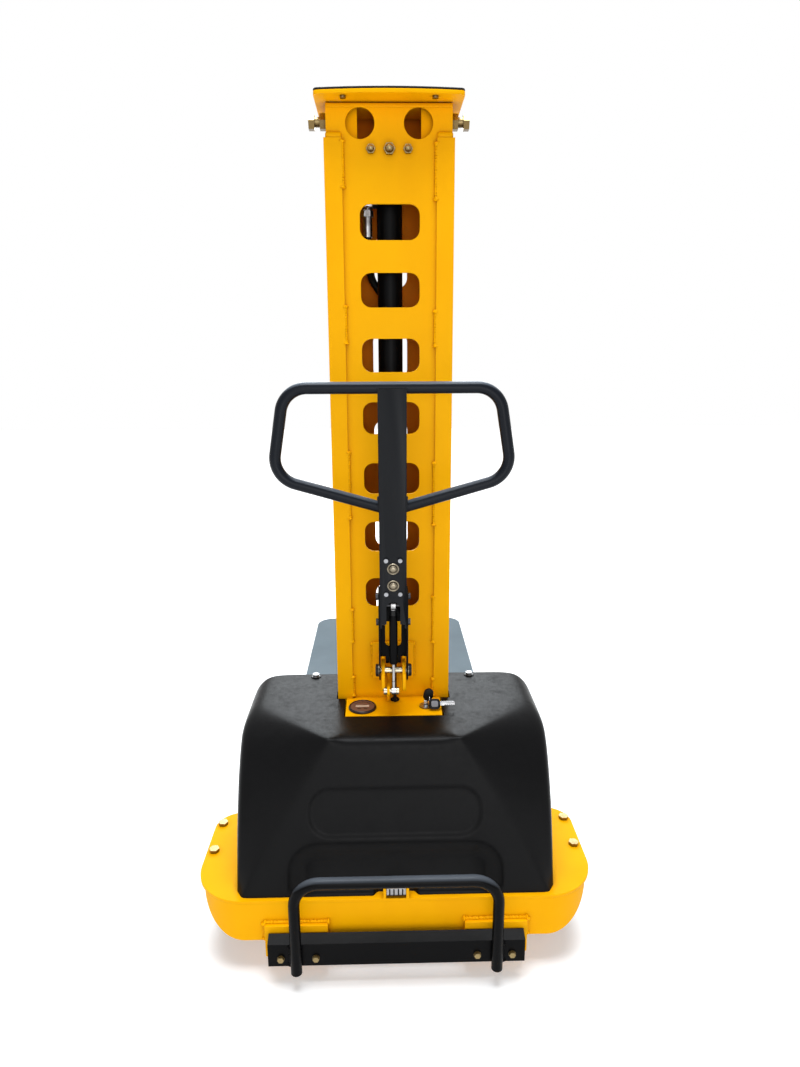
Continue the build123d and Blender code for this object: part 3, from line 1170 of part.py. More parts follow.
with BuildPart() as tiller_yoke:
    for side in (-1, 1):
        wall = (side * yoke_inner, side * yoke_outer)
        tiller_block(wall, (0, YOKE_TOP), (STEM_BACK, STEM_FACE))
        tiller_bar(STEM_FACE - STEM_BACK, wall, 0, (STEM_FACE + STEM_BACK) / 2)
        tiller_bar(PIVOT_BOLT + 2 * RUN, wall, 0, 0, Mode.SUBTRACT)
        for up in YOKE_BOLTS:
            tiller_bar(YOKE_BOLT + 2 * RUN, (side * (yoke_inner - FACE), side * (yoke_outer + FACE)), up,
                       YOKE_BOLT_OUT, Mode.SUBTRACT)
    web = (STEM_BACK, STEM_BACK + YOKE_SHEET)
    tiller_block((-yoke_inner, yoke_inner), YOKE_WEB, web)
    tongue_half = EAR_INNER - 2 * FACE
    tiller_block((-tongue_half, tongue_half), (YOKE_TONGUE, YOKE_WEB[0]), web)
    slot_half = YOKE_SLOT_WIDTH / 2
    slot_bend = YOKE_SLOT_FOOT + YOKE_SLOT_CORNER
    slot_cut = (STEM_BACK - FACE, STEM_BACK + YOKE_SHEET + FACE)
    tiller_block((-slot_half, slot_half), (slot_bend, YOKE_WEB[1] + FACE), slot_cut, Mode.SUBTRACT)
    tiller_block((YOKE_SLOT_CORNER - slot_half, slot_half - YOKE_SLOT_CORNER), (YOKE_SLOT_FOOT, slot_bend),
                 slot_cut, Mode.SUBTRACT)
    for side in (-1, 1):
        tiller_post(2 * YOKE_SLOT_CORNER, side * (slot_half - YOKE_SLOT_CORNER), slot_bend, slot_cut,
                    Mode.SUBTRACT)
keep(tiller_yoke, "tiller_yoke")

with BuildPart() as tiller_loop:
    with BuildLine(tiller_plane.offset(LOOP_FACE)) as loop_run:
        FilletPolyline((stem_inner, LOOP_JOIN), (LOOP_SIDE_HALF, LOOP_SIDE), (LOOP_TOP_HALF, LOOP_TOP),
                       (-LOOP_TOP_HALF, LOOP_TOP), (-LOOP_SIDE_HALF, LOOP_SIDE), (-stem_inner, LOOP_JOIN),
                       radius=LOOP_BEND)
    with BuildSketch(loop_run.line ^ 0):
        Circle(LOOP_TUBE / 2)
    sweep()
    tiller_block((-stem_half, stem_half), (LOOP_JOIN - 2 * LOOP_TUBE, LOOP_JOIN + 2 * LOOP_TUBE),
                 (STEM_BACK, STEM_FACE), Mode.SUBTRACT)
keep(tiller_loop, "tiller_loop")

with BuildPart() as tiller_screws:
    for side in (-1, 1):
        for up in PANEL_SCREWS:
            tiller_post(panel_screw, side * PANEL_SCREW_X, up, (face_back - 4.0, STEM_FACE))
            tiller_post(1.9 * panel_screw, side * PANEL_SCREW_X, up, (STEM_FACE, STEM_FACE + 2.5))
        for up in YOKE_BOLTS:
            tiller_bar(YOKE_BOLT, (side * stem_inner, side * yoke_outer), up, YOKE_BOLT_OUT)
            tiller_bar(13.0, (side * yoke_outer, side * (yoke_outer + 4.5)), up, YOKE_BOLT_OUT)
            tiller_bar(13.0, (side * (stem_inner - 5.0), side * stem_inner), up, YOKE_BOLT_OUT)
    tiller_bar(SPRING_TOP_PIN, (-stem_half, stem_half), SPRING_TOP, SPRING_TOP_FACE)
keep(tiller_screws, "tiller_screws")

with BuildPart() as button_barrels:
    for button in (RAISE_BUTTON, LOWER_BUTTON):
        tiller_post(BUTTON_BARREL, 0, button, (STEM_FACE - BARREL_DEPTH, STEM_FACE))
        tiller_post(BUTTON_BEZEL, 0, button, (STEM_FACE, STEM_FACE + BEZEL_PROUD))
        tiller_post(BUTTON + 2 * RUN, 0, button,
                    (STEM_FACE - BARREL_DEPTH / 2, STEM_FACE + BEZEL_PROUD + FACE), Mode.SUBTRACT)
keep(button_barrels, "button_barrels")

for button, label in ((RAISE_BUTTON, "raise_button"), (LOWER_BUTTON, "lower_button")):
    with BuildPart() as push_button:
        tiller_post(BUTTON, 0, button,
                    (STEM_FACE - BARREL_DEPTH / 2 + 2 * BUTTON_TRAVEL,
                    STEM_FACE + BEZEL_PROUD + BUTTON_PROUD))
        fillet(push_button.edges().sort_by(Axis.Y)[0], 2.5)
    keep(push_button, label)

# Gas spring between the bracket tab and the pin in the stem
pin_y = at(PIVOT_STATION) - SPRING_TOP * sin(lean) - SPRING_TOP_FACE * cos(lean)
pin_z = PIVOT_Z + SPRING_TOP * cos(lean) - SPRING_TOP_FACE * sin(lean)
low_y = at(spring_low_station)
spring_rise = Vector(0, pin_y - low_y, pin_z - spring_low_z)
spring_length = spring_rise.length
spring_plane = Plane(origin=(0, low_y, spring_low_z), x_dir=(1, 0, 0), z_dir=spring_rise.normalized())
top_eye_bore = SPRING_TOP_PIN + 2 * SPRING_TOP_PLAY
top_eye = top_eye_bore + 5.0
spring_bore_top = spring_length - top_eye / 2 - SPRING_CAP


def spring_rod_part(diameter, along, mode=Mode.ADD):
    with Locations(spring_plane.location * Pos(0, 0, (along[0] + along[1]) / 2)):
        Cylinder(diameter / 2, along[1] - along[0], mode=mode)


def spring_eye(diameter, height, half, mode=Mode.ADD):
    with Locations(spring_plane.location * Pos(0, 0, height)):
        Cylinder(diameter / 2, 2 * half, rotation=(0, 90, 0), mode=mode)


with BuildPart() as gas_spring_rod:
    spring_rod_part(SPRING_ROD, (0, spring_bore_top - SPRING_STROKE - PASS))
    spring_rod_part(1.2 * SPRING_ROD, (0, SPRING_EYE / 2 + 12.0))
    spring_eye(SPRING_EYE, 0, spring_half)
    spring_eye(SPRING_BOLT + 2 * RUN, 0, spring_half + FACE, Mode.SUBTRACT)
keep(gas_spring_rod, "gas_spring_rod")

with BuildPart() as gas_spring_cylinder:
    spring_rod_part(SPRING_BODY, (SPRING_BODY_FOOT, spring_length - top_eye / 2 + 2.0))
    spring_eye(top_eye, spring_length, spring_half)
    spring_rod_part(SPRING_ROD + 2 * RUN, (SPRING_BODY_FOOT - FACE, spring_bore_top), Mode.SUBTRACT)
    spring_eye(top_eye_bore, spring_length, spring_half + FACE, Mode.SUBTRACT)
keep(gas_spring_cylinder, "gas_spring_cylinder")

# Cable inside the stem, from the pivot up to the buttons
upper_start = tiller_plane.to_local_coords(Vector(CABLE_X, at(cable_behind), cable_top + SLIDE))
with BuildPart() as tiller_cable:
    with BuildLine(tiller_plane) as upper_run:
        FilletPolyline((CABLE_X, upper_start.Y, upper_start.Z),
                       (CABLE_X, YOKE_SLOT_FOOT + 21.0, upper_start.Z),
                       (CABLE_X, YOKE_SLOT_FOOT + 59.0, UPPER_CABLE_OUT),
                       (CABLE_X, LOWER_BUTTON + 16.0, UPPER_CABLE_OUT),
                       radius=10.0)
    with BuildSketch(upper_run.line ^ 0):
        Circle(UPPER_CABLE / 2)
    sweep()
keep(tiller_cable, "tiller_cable")
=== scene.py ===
import math
import random

import bmesh
import bpy
from mathutils import Matrix, Vector


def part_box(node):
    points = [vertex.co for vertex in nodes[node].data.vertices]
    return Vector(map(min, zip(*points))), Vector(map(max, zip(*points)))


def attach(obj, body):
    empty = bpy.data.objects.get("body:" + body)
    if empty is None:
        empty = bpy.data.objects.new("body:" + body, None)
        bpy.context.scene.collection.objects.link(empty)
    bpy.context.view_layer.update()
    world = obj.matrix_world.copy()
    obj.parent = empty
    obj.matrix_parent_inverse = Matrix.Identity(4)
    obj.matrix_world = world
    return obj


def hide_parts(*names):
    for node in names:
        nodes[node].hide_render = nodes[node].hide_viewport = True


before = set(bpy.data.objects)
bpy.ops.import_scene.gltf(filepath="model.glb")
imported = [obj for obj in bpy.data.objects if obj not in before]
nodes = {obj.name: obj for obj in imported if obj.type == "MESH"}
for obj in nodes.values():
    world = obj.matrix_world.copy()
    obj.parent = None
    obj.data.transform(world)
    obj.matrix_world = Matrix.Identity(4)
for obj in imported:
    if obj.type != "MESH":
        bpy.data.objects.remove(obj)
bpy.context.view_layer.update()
scene = bpy.context.scene

# Directions, and the pairs that span a plate facing the operator, a level plate and one seen from the side
X, Y, Z = Vector((1, 0, 0)), Vector((0, 1, 0)), Vector((0, 0, 1))
FACING, LEVEL, SIDEWAYS = (X, Z), (X, Y), (Y, Z)
SIDES = (-1, 1)

# Stations count in metres from the rear skirt's face towards the forks
BASE_Y = -0.7684


def at(station):
    return BASE_Y + station


# Tiller axes: across, up the stem, out towards the operator
LEAN = math.radians(5.0)
PIVOT = Vector((0.0, at(0.165), 0.516))
STEM_UP = Vector((0.0, -math.sin(LEAN), math.cos(LEAN)))
STEM_OUT = Vector((0.0, -math.cos(LEAN), -math.sin(LEAN)))


def tiller(across, up, out):
    return PIVOT + Vector((across, 0.0, 0.0)) + STEM_UP * up + STEM_OUT * out


# Places that finishes and shapes share
COVER_FOOT, COVER_TOP, COVER_FRONT, COVER_HALF = 0.150, 0.427, 0.347, 0.290
SPRING_PIN = tiller(0, 0.137, 0.008)

# Camera at the photograph's height and angle
PITCH, YAW, ROLL = math.radians(13.894), math.radians(1.301), math.radians(0.258)
EYE = Vector((-0.0157, at(-1.1147), 1.0973))
FOCAL_PIXELS, PHOTO_PIXELS = 733.22, 1067.0
SENSOR = 36.0
forward = Vector((math.sin(YAW) * math.cos(PITCH), math.cos(YAW) * math.cos(PITCH), -math.sin(PITCH)))
right = forward.cross(Z).normalized()
down = forward.cross(right).normalized()
image_right = math.cos(ROLL) * right + math.sin(ROLL) * down
image_up = math.sin(ROLL) * right - math.cos(ROLL) * down
camera = bpy.data.objects.new("camera", bpy.data.cameras.new("camera"))
camera.matrix_world = Matrix((
    (image_right.x, image_up.x, -forward.x, EYE.x),
    (image_right.y, image_up.y, -forward.y, EYE.y),
    (image_right.z, image_up.z, -forward.z, EYE.z),
    (0, 0, 0, 1)))
camera.data.sensor_fit = "VERTICAL"
camera.data.sensor_height = SENSOR
camera.data.lens = SENSOR * FOCAL_PIXELS / PHOTO_PIXELS
scene.collection.objects.link(camera)
scene.camera = camera
scene.view_settings.view_transform = "Standard"


# Materials
class Graph:
    """A material's node tree, with short calls for the nodes used here."""

    def __init__(self, name):
        self.material = bpy.data.materials.new(name)
        self.material.use_nodes = True
        self.tree = self.material.node_tree
        self.shader = self.tree.nodes["Principled BSDF"]
        self.coords = self.node("ShaderNodeTexCoord")
        self.place = self.coords.outputs["Object"]

    def node(self, kind, **values):
        made = self.tree.nodes.new(kind)
        for key, value in values.items():
            setattr(made, key, value)
        return made

    def put(self, socket, value):
        if isinstance(value, bpy.types.NodeSocket):
            self.tree.links.new(value, socket)
        else:
            socket.default_value = value

    def noise(self, scale, detail=3.0, rough=0.55, stretch=None):
        made = self.node("ShaderNodeTexNoise")
        made.inputs["Scale"].default_value = scale
        made.inputs["Detail"].default_value = detail
        made.inputs["Roughness"].default_value = rough
        place = self.place
        if stretch:
            mapping = self.node("ShaderNodeMapping")
            mapping.inputs["Scale"].default_value = stretch
            self.put(mapping.inputs["Vector"], place)
            place = mapping.outputs["Vector"]
        self.put(made.inputs["Vector"], place)
        return made.outputs["Fac"]

    def remap(self, value, low, high, to_low, to_high):
        made = self.node("ShaderNodeMapRange")
        for name, number in (("From Min", low), ("From Max", high), ("To Min", to_low), ("To Max", to_high)):
            made.inputs[name].default_value = number
        self.put(made.inputs["Value"], value)
        return made.outputs["Result"]

    def beyond(self, value, limit, blur=0.0003):
        """Zero below the limit, one beyond it."""
        return self.remap(value, limit - blur, limit + blur, 0.0, 1.0)

    def within(self, value, limit, blur=0.0003):
        """One below the limit, zero beyond it."""
        return self.remap(value, limit - blur, limit + blur, 1.0, 0.0)

    def math(self, operation, a, b=0.0):
        made = self.node("ShaderNodeMath", operation=operation)
        self.put(made.inputs[0], a)
        self.put(made.inputs[1], b)
        return made.outputs[0]

    def hypot(self, a, b):
        return self.math("SQRT", self.math("ADD", self.math("POWER", a, 2.0), self.math("POWER", b, 2.0)))

    def mix(self, factor, a, b):
        made = self.node("ShaderNodeMix", data_type="RGBA")
        self.put(made.inputs[0], factor)
        self.put(made.inputs[6], a)
        self.put(made.inputs[7], b)
        return made.outputs[2]

    def split(self, vector):
        made = self.node("ShaderNodeSeparateXYZ")
        self.put(made.inputs[0], vector)
        return made.outputs

    def crevice(self, reach):
        """One in a tight corner, zero on an open face."""
        made = self.node("ShaderNodeAmbientOcclusion", samples=4)
        made.inputs["Distance"].default_value = reach
        return self.remap(made.outputs["AO"], 0.45, 0.95, 1.0, 0.0)

    def facing_up(self):
        """The upward part of the object's own normal."""
        return self.split(self.coords.outputs["Normal"])["Z"]

    def around(self, y, z):
        """Distance from a line along X."""
        place = self.split(self.place)
        return self.hypot(self.math("SUBTRACT", place["Y"], y), self.math("SUBTRACT", place["Z"], z))

    def bump(self, height, distance, strength=1.0):
        made = self.node("ShaderNodeBump")
        made.inputs["Strength"].default_value = strength
        made.inputs["Distance"].default_value = distance
        self.put(made.inputs["Height"], height)
        return made.outputs["Normal"]

    def finish(self, color, rough, metal=0.0, normal=None, specular=0.5):
        self.put(self.shader.inputs["Base Color"], color)
        self.put(self.shader.inputs["Roughness"], rough)
        self.put(self.shader.inputs["Metallic"], metal)
        self.shader.inputs["Specular IOR Level"].default_value = specular
        if normal is not None:
            self.put(self.shader.inputs["Normal"], normal)
        return self.material


def rgb(red, green, blue):
    def linear(value):
        value = value / 255.0
        return value / 12.92 if value <= 0.04045 else ((value + 0.055) / 1.055) ** 2.4
    return (linear(red), linear(green), linear(blue), 1.0)


def paint(name, light, dark, rough, corner_shade=None, dust_and_highlight=None, peel=0.00012, grime=0.35, specular=0.05):
    """Clouded, streaked and specked paint, with painted shade in its corners and dust with a painted
    highlight on what looks up.
    """
    g = Graph(name)
    cloud = g.noise(5.0, 4.0)
    streak = g.noise(9.0, 3.0, stretch=(1.0, 1.0, 0.12))
    shade = g.math("ADD", g.remap(cloud, 0.35, 0.7, 0.0, 0.5), g.remap(streak, 0.45, 0.75, 0.0, 0.35))
    color = g.mix(shade, light, dark)
    fine = g.noise(900.0, 2.0)
    speck = g.remap(g.noise(260.0, 2.0), 0.68, 0.74, 0.0, grime)
    color = g.mix(speck, color, dark)
    # Painted shade: the corner colour is mixed in where ambient occlusion finds a tight corner.
    if corner_shade:
        color = g.mix(g.math("MULTIPLY", g.crevice(0.012), 0.5), color, corner_shade)
    # Painted highlight, partly dust: a pale colour on faces that look up.
    if dust_and_highlight:
        dust_and_highlight_mask = g.remap(g.facing_up(), 0.5, 0.97, 0.0, 0.85)
        color = g.mix(g.math("MULTIPLY", dust_and_highlight_mask, g.remap(cloud, 0.2, 0.6, 0.6, 1.0)), color, dust_and_highlight)
    normal = g.bump(g.noise(420.0, 2.0), peel, 0.8)
    roughness = g.remap(g.math("ADD", fine, cloud), 0.6, 1.4, rough - 0.07, rough + 0.09)
    return g.finish(color, roughness, normal=normal, specular=specular)


def black_paint(name, light, dark, rough, dust_and_highlight=None, specular=0.05):
    return paint(name, light, dark, rough, dust_and_highlight=dust_and_highlight, peel=0.0001, grime=0.2, specular=specular)


def metal(name, light, dark, rough):
    """Brushed metal, with painted shade on its underside and in its corners."""
    g = Graph(name)
    color = g.mix(g.remap(g.noise(60.0, 4.0), 0.3, 0.7, 0.0, 0.4), light, dark)
    # Painted shade: darker towards the faces that look down.
    color = g.mix(g.remap(g.facing_up(), -0.6, 0.6, 1.0, 0.0), color, dark)
    # Painted shade: a dark brown in tight corners.
    color = g.mix(g.math("MULTIPLY", g.crevice(0.006), 0.8), color, rgb(38, 30, 22))
    lines = g.noise(1600.0, 2.0)
    roughness = g.remap(g.math("ADD", lines, g.noise(40.0)), 0.6, 1.4, rough - 0.08, rough + 0.1)
    return g.finish(color, roughness, metal=1.0, normal=g.bump(lines, 0.00003, 0.7))


def worn_metal(name, light, dark, rough):
    """Plated metal, unevenly worn."""
    g = Graph(name)
    worn = g.remap(g.noise(70.0, 4.0), 0.3, 0.7, 0.0, 1.0)
    roughness = g.remap(worn, 0.0, 1.0, rough - 0.05, rough + 0.06)
    normal = g.bump(g.noise(700.0, 2.0), 0.00006, 0.7)
    return g.finish(g.mix(worn, light, dark), roughness, metal=1.0, normal=normal, specular=0.2)


def plastic(name, light, dark, rough, grain=1500.0, depth=0.00006, specular=0.12):
    """Grained plastic or rubber with dull scuffs."""
    g = Graph(name)
    color = g.mix(g.remap(g.noise(8.0, 5.0), 0.3, 0.7, 0.0, 1.0), light, dark)
    scuff = g.remap(g.noise(34.0, 6.0, 0.7), 0.5, 0.75, 0.0, 0.12)
    roughness = g.math("ADD", g.remap(g.noise(120.0), 0.3, 0.7, rough - 0.05, rough + 0.05), scuff)
    cell = g.node("ShaderNodeTexVoronoi")
    cell.inputs["Scale"].default_value = grain
    g.put(cell.inputs["Vector"], g.place)
    return g.finish(color, roughness, normal=g.bump(cell.outputs["Distance"], depth, 0.8), specular=specular)


def two_part(name, mask_of, inner, outer, rough=(0.3, 0.45), metals=(1.0, 0.0)):
    """One material whose mask turns from an outer finish to an inner one."""
    g = Graph(name)
    mask = mask_of(g)
    worn = g.remap(g.noise(70.0, 4.0), 0.3, 0.7, 0.0, 1.0)
    color = g.mix(mask, g.mix(worn, *outer), g.mix(worn, *inner))
    uneven = g.remap(worn, 0.0, 1.0, -0.05, 0.06)
    roughness = g.math("ADD", g.remap(mask, 0.0, 1.0, rough[1], rough[0]), uneven)
    shine = g.remap(mask, 0.0, 1.0, metals[1], metals[0])
    normal = g.bump(g.noise(700.0, 2.0), 0.00006, 0.7)
    return g.finish(color, roughness, metal=shine, normal=normal, specular=0.2)


def wheel(node, hub_share):
    """A bright hub within a brown tread."""
    low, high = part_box(node)
    middle, radius = [(a + b) / 2 for a, b in zip(low, high)], (high[2] - low[2]) / 2

    def hub(g):
        return g.within(g.around(middle[1], middle[2]), radius * hub_share, 0.0004)
    return two_part(node + "_tread", hub, (rgb(168, 168, 170), rgb(132, 132, 136)),
                    (rgb(74, 50, 38), rgb(56, 38, 30)))


# Masks for two_part, and the places where finishes change
PIVOT_HEADS_X, SIDE_BOLTS_X, PIN_RADIUS = 0.0278, 0.0225, 0.00475
COVER_BOLT_X, COVER_BOLT_INSET, COVER_BOLT_RADIUS = 0.163, 0.014, 0.0078
SPRING_EYE_FOOT = 0.6438


def above(height):
    """One above a height."""
    def mask(g):
        return g.beyond(g.split(g.place)["Z"], height)
    return mask


def wider(x):
    """One beyond plus or minus x from the middle."""
    def mask(g):
        return g.beyond(g.math("ABSOLUTE", g.split(g.place)["X"]), x)
    return mask


def near_upright(x, y, radius):
    """One near either of two upright lines at plus and minus x."""
    def mask(g):
        place = g.split(g.place)
        across = g.math("SUBTRACT", g.math("ABSOLUTE", place["X"]), x)
        along = g.math("SUBTRACT", place["Y"], y)
        return g.within(g.hypot(across, along), radius)
    return mask


def bolts_and_pin(g):
    """One on the tiller's side bolts and on the spring's upper pin."""
    pin = g.within(g.around(SPRING_PIN.y, SPRING_PIN.z), PIN_RADIUS, 0.00025)
    return g.math("MAXIMUM", wider(SIDE_BOLTS_X)(g), pin)


cover_bolt_heads = near_upright(COVER_BOLT_X, at(COVER_FRONT - COVER_BOLT_INSET), COVER_BOLT_RADIUS)

# Finishes
SILVER, DULL = rgb(196, 196, 198), rgb(120, 118, 116)
# Yellow paint, with orange-brown painted shade in its corners.
YELLOW = paint("yellow_paint", rgb(250, 180, 0), rgb(238, 163, 0), 0.4, corner_shade=rgb(150, 82, 0))
# A darker copy of the yellow paint for the inner mast: painted shade, partly grease, with darker painted
# shade in its corners.
INNER = paint("greased_and_shaded_paint", rgb(226, 128, 8), rgb(180, 94, 5), 0.5, corner_shade=rgb(70, 32, 4), grime=0.6)
GREY = paint("fork_paint", rgb(88, 102, 110), rgb(75, 88, 95), 0.42, peel=0.0002, specular=0.15)
DARK = black_paint("tiller_paint", rgb(18, 20, 24), rgb(14, 16, 19), 0.32, specular=0.12)
# Tiller loop paint, with a pale painted highlight, partly dust, on its upward faces.
LOOP = black_paint("loop_paint", rgb(13, 18, 26), rgb(10, 14, 20), 0.3, dust_and_highlight=rgb(104, 114, 126),
                   specular=0.12)
BLACK = black_paint("black_paint", rgb(8, 8, 9), rgb(6, 6, 7), 0.3)
# Push hoop paint, with a pale painted highlight, partly dust, on its upward faces.
HOOP = black_paint("hoop_paint", rgb(6, 6, 7), rgb(4, 4, 5), 0.24, dust_and_highlight=rgb(92, 98, 106), specular=0.06)
COVER = plastic("cover_moulding", rgb(11, 11, 12), rgb(8, 8, 9), 0.34, grain=900.0, specular=0.08)
PLASTIC = plastic("black_plastic", rgb(16, 16, 17), rgb(10, 10, 11), 0.36)
RUBBER = plastic("hose_rubber", rgb(16, 16, 16), rgb(10, 10, 10), 0.5, grain=2600.0)
NYLON = plastic("white_nylon", rgb(225, 222, 210), rgb(205, 200, 186), 0.5, specular=0.4)
# Each metal's darker colour is also its painted shade on downward faces.
ZINC = metal("zinc_plate", rgb(196, 176, 128), rgb(92, 74, 44), 0.28)
STEEL = metal("bright_steel", rgb(198, 198, 200), rgb(104, 102, 100), 0.24)
BRONZE = metal("button_metal", rgb(170, 160, 140), rgb(92, 84, 70), 0.3)
SPRING = two_part("gas_spring_finish", above(SPRING_EYE_FOOT), (SILVER, DULL),
                  (rgb(12, 12, 13), rgb(8, 8, 9)))
BOLTED = two_part("cover_bolt_finish", cover_bolt_heads, (SILVER, DULL), (rgb(14, 14, 14), rgb(9, 9, 9)))
PIVOTS = two_part("pivot_bolt_finish", wider(PIVOT_HEADS_X), (rgb(46, 44, 44), rgb(30, 28, 28)),
                  (rgb(204, 190, 156), DULL), rough=(0.4, 0.28), metals=(0.6, 1.0))
SCREWS = two_part("tiller_screw_finish", bolts_and_pin, (rgb(70, 70, 72), rgb(48, 48, 50)),
                  (rgb(158, 160, 164), rgb(112, 112, 114)), rough=(0.4, 0.3), metals=(1.0, 1.0))
FITTING = worn_metal("hose_fitting_finish", SILVER, DULL, 0.3)
RIM_FINISH = plastic("gauge_rim", rgb(30, 18, 17), rgb(22, 13, 12), 0.3, specular=0.3)
FACE_FINISH = plastic("gauge_face", rgb(112, 80, 66), rgb(96, 68, 56), 0.4, depth=0.00001, specular=0.2)
STRIP_FINISH = plastic("gauge_strip", rgb(200, 180, 160), rgb(184, 164, 146), 0.4, depth=0.00001,
                       specular=0.2)
INLAY = plastic("key_inlay", rgb(132, 132, 138), rgb(116, 116, 122), 0.4, specular=0.3)

FINISH = {
    YELLOW: "mast_channels mast_rear_plate instrument_shelf tiller_bracket cylinder_brackets top_plate "
            "fork_carriage leg_sleeves base_plate rear_skirt inner_rails",
    INNER: "inner_mast_plate",
    GREY: "left_fork right_fork left_leg right_leg",
    DARK: "tiller_stem",
    LOOP: "tiller_loop",
    BLACK: "tiller_yoke leg_cross_plate cylinder_barrel hydraulic_pump",
    HOOP: "push_hoop",
    COVER: "rear_cover",
    PLASTIC: "battery battery_gauge top_pad oil_tank",
    RUBBER: "hydraulic_hoses shelf_cable tiller_cable",
    NYLON: "guide_pads",
    ZINC: "clamp_cap_nuts pad_adjusters caster_bolts cross_plate_bolts top_pad_screws caster_plates "
          "left_caster_fork right_caster_fork",
    STEEL: "cylinder_rod gas_spring_rod mast_rollers roller_axles button_barrels key_switch key_set "
           "cover_latch raise_button lower_button",
    SPRING: "gas_spring_cylinder",
    BOLTED: "cover_bolts",
    PIVOTS: "tiller_pivots",
    SCREWS: "tiller_screws",
    FITTING: "hose_fittings",
}
HUB_SHARES = {"left_caster_wheel": 0.62, "right_caster_wheel": 0.62, "left_leg_wheel": 0.55,
              "right_leg_wheel": 0.55, "fork_rollers": 0.5}
FINISH.update({wheel(name, share): name for name, share in HUB_SHARES.items()})
for material, names in FINISH.items():
    for name in names.split():
        nodes[name].data.materials.clear()
        nodes[name].data.materials.append(material)


# Shapes, each a list of points and a list of faces
def add_piece(name, shape, material, body, sharp=40.0):
    verts, faces = shape
    shell = bmesh.new()
    made = [shell.verts.new(v) for v in verts]
    for face in faces:
        shell.faces.new([made[k] for k in face])
    bmesh.ops.remove_doubles(shell, verts=shell.verts, dist=1e-6)
    bmesh.ops.recalc_face_normals(shell, faces=shell.faces)
    mesh = bpy.data.meshes.new(name)
    shell.to_mesh(mesh)
    shell.free()
    return dress(name, mesh, material, body, sharp)


def dress(name, mesh, material, body, sharp=40.0):
    mesh.materials.append(material)
    mesh.shade_smooth()
    mesh.set_sharp_from_angle(angle=math.radians(sharp))
    made = bpy.data.objects.new(name, mesh)
    scene.collection.objects.link(made)
    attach(made, body)
    return made


def smoothstep(low, high, value):
    share = min(1.0, max(0.0, (value - low) / (high - low)))
    return share * share * (3.0 - 2.0 * share)


def round_box(x, y, half_x, half_y, corner):
    """Distance from a point to the edge of a rounded rectangle, negative inside."""
    over_x, over_y = abs(x) - half_x + corner, abs(y) - half_y + corner
    outside = math.hypot(max(over_x, 0.0), max(over_y, 0.0))
    return outside + min(max(over_x, over_y), 0.0) - corner


def join_shapes(shapes):
    verts, faces = [], []
    for more, around in shapes:
        shift = len(verts)
        verts += more
        faces += [tuple(k + shift for k in face) for face in around]
    return verts, faces


def circle_axes(axis):
    """A unit axis and two directions square to it."""
    axis = Vector(axis).normalized()
    u = axis.orthogonal().normalized()
    return axis, u, axis.cross(u)


def turned(profile, origin, axis, sides=40):
    """A line of radius and height turned about an axis; a zero radius closes an end."""
    origin = Vector(origin)
    axis, u, v = circle_axes(axis)
    verts, faces, rings = [], [], []
    for radius, height in profile:
        count = sides if radius > 1e-6 else 1
        rings.append(range(len(verts), len(verts) + count))
        for k in range(count):
            angle = 2 * math.pi * k / sides
            verts.append(origin + axis * height + (u * math.cos(angle) + v * math.sin(angle)) * radius)
    for low, high in zip(rings, rings[1:]):
        for k in range(sides):
            loop = (low[k % len(low)], low[(k + 1) % len(low)],
                    high[(k + 1) % len(high)], high[k % len(high)])
            faces.append(tuple(dict.fromkeys(loop)))
    return verts, faces


def rounded(width, height, corner, x=0.0, y=0.0, steps=6):
    """Outline of a rounded rectangle about a middle."""
    points = []
    for turn, (sx, sy) in enumerate(((1, 1), (-1, 1), (-1, -1), (1, -1))):
        for k in range(steps + 1):
            angle = math.pi / 2 * (turn + k / steps)
            points.append((x + sx * (width / 2 - corner) + corner * math.cos(angle),
                           y + sy * (height / 2 - corner) + corner * math.sin(angle)))
    return points


def plate(outline, origin, u, v, low, high, edge=0.0004):
    """An outline in the u, v plane, thick along their normal, with rounded rims."""
    origin, u, v = Vector(origin), Vector(u).normalized(), Vector(v).normalized()
    w = u.cross(v)
    flat = [Vector(p) for p in outline]
    count = len(flat)
    pull = []
    for k in range(count):
        before, after = flat[k] - flat[k - 1], flat[(k + 1) % count] - flat[k]
        turn = before.normalized() + after.normalized()
        pull.append(Vector((-turn.y, turn.x)).normalized())
    levels = ((edge, low), (0.3 * edge, low + 0.3 * edge), (0.0, low + edge),
              (0.0, high - edge), (0.3 * edge, high - 0.3 * edge), (edge, high))
    verts, faces = [], []
    for inward, height in levels:
        for point, way in zip(flat, pull):
            spot = point + way * inward
            verts.append(origin + u * spot.x + v * spot.y + w * height)
    for level in range(len(levels) - 1):
        for k in range(count):
            low_k, high_k = level * count, (level + 1) * count
            faces.append((low_k + k, low_k + (k + 1) % count, high_k + (k + 1) % count, high_k + k))
    faces.append(tuple(range(count))[::-1])
    faces.append(tuple((len(levels) - 1) * count + k for k in range(count)))
    return verts, faces


def ring_shape(origin, axis, major, minor, sides=48, around=12):
    turns = [2 * math.pi * k / around for k in range(around + 1)]
    return turned([(major + minor * math.cos(a), minor * math.sin(a)) for a in turns], origin, axis, sides)


BEAD_STEP, BEAD_WANDER, BEAD_UNEVEN = 0.0011, 0.0004, 0.08
BEAD_TROUGH, BEAD_WAVE = 0.82, 0.3
BEAD_END = (0.5, 1.1, 1.5, 1.65, 1.5, 1.25)
BRACKET_SEED, COLLAR_TOP_SEED, COLLAR_SIDE_SEED, LOOP_SEED, HOOP_SEED = 50, 60, 70, 90, 100
WELD_SHARP, COVER_SHARP = 60.0, 50.0


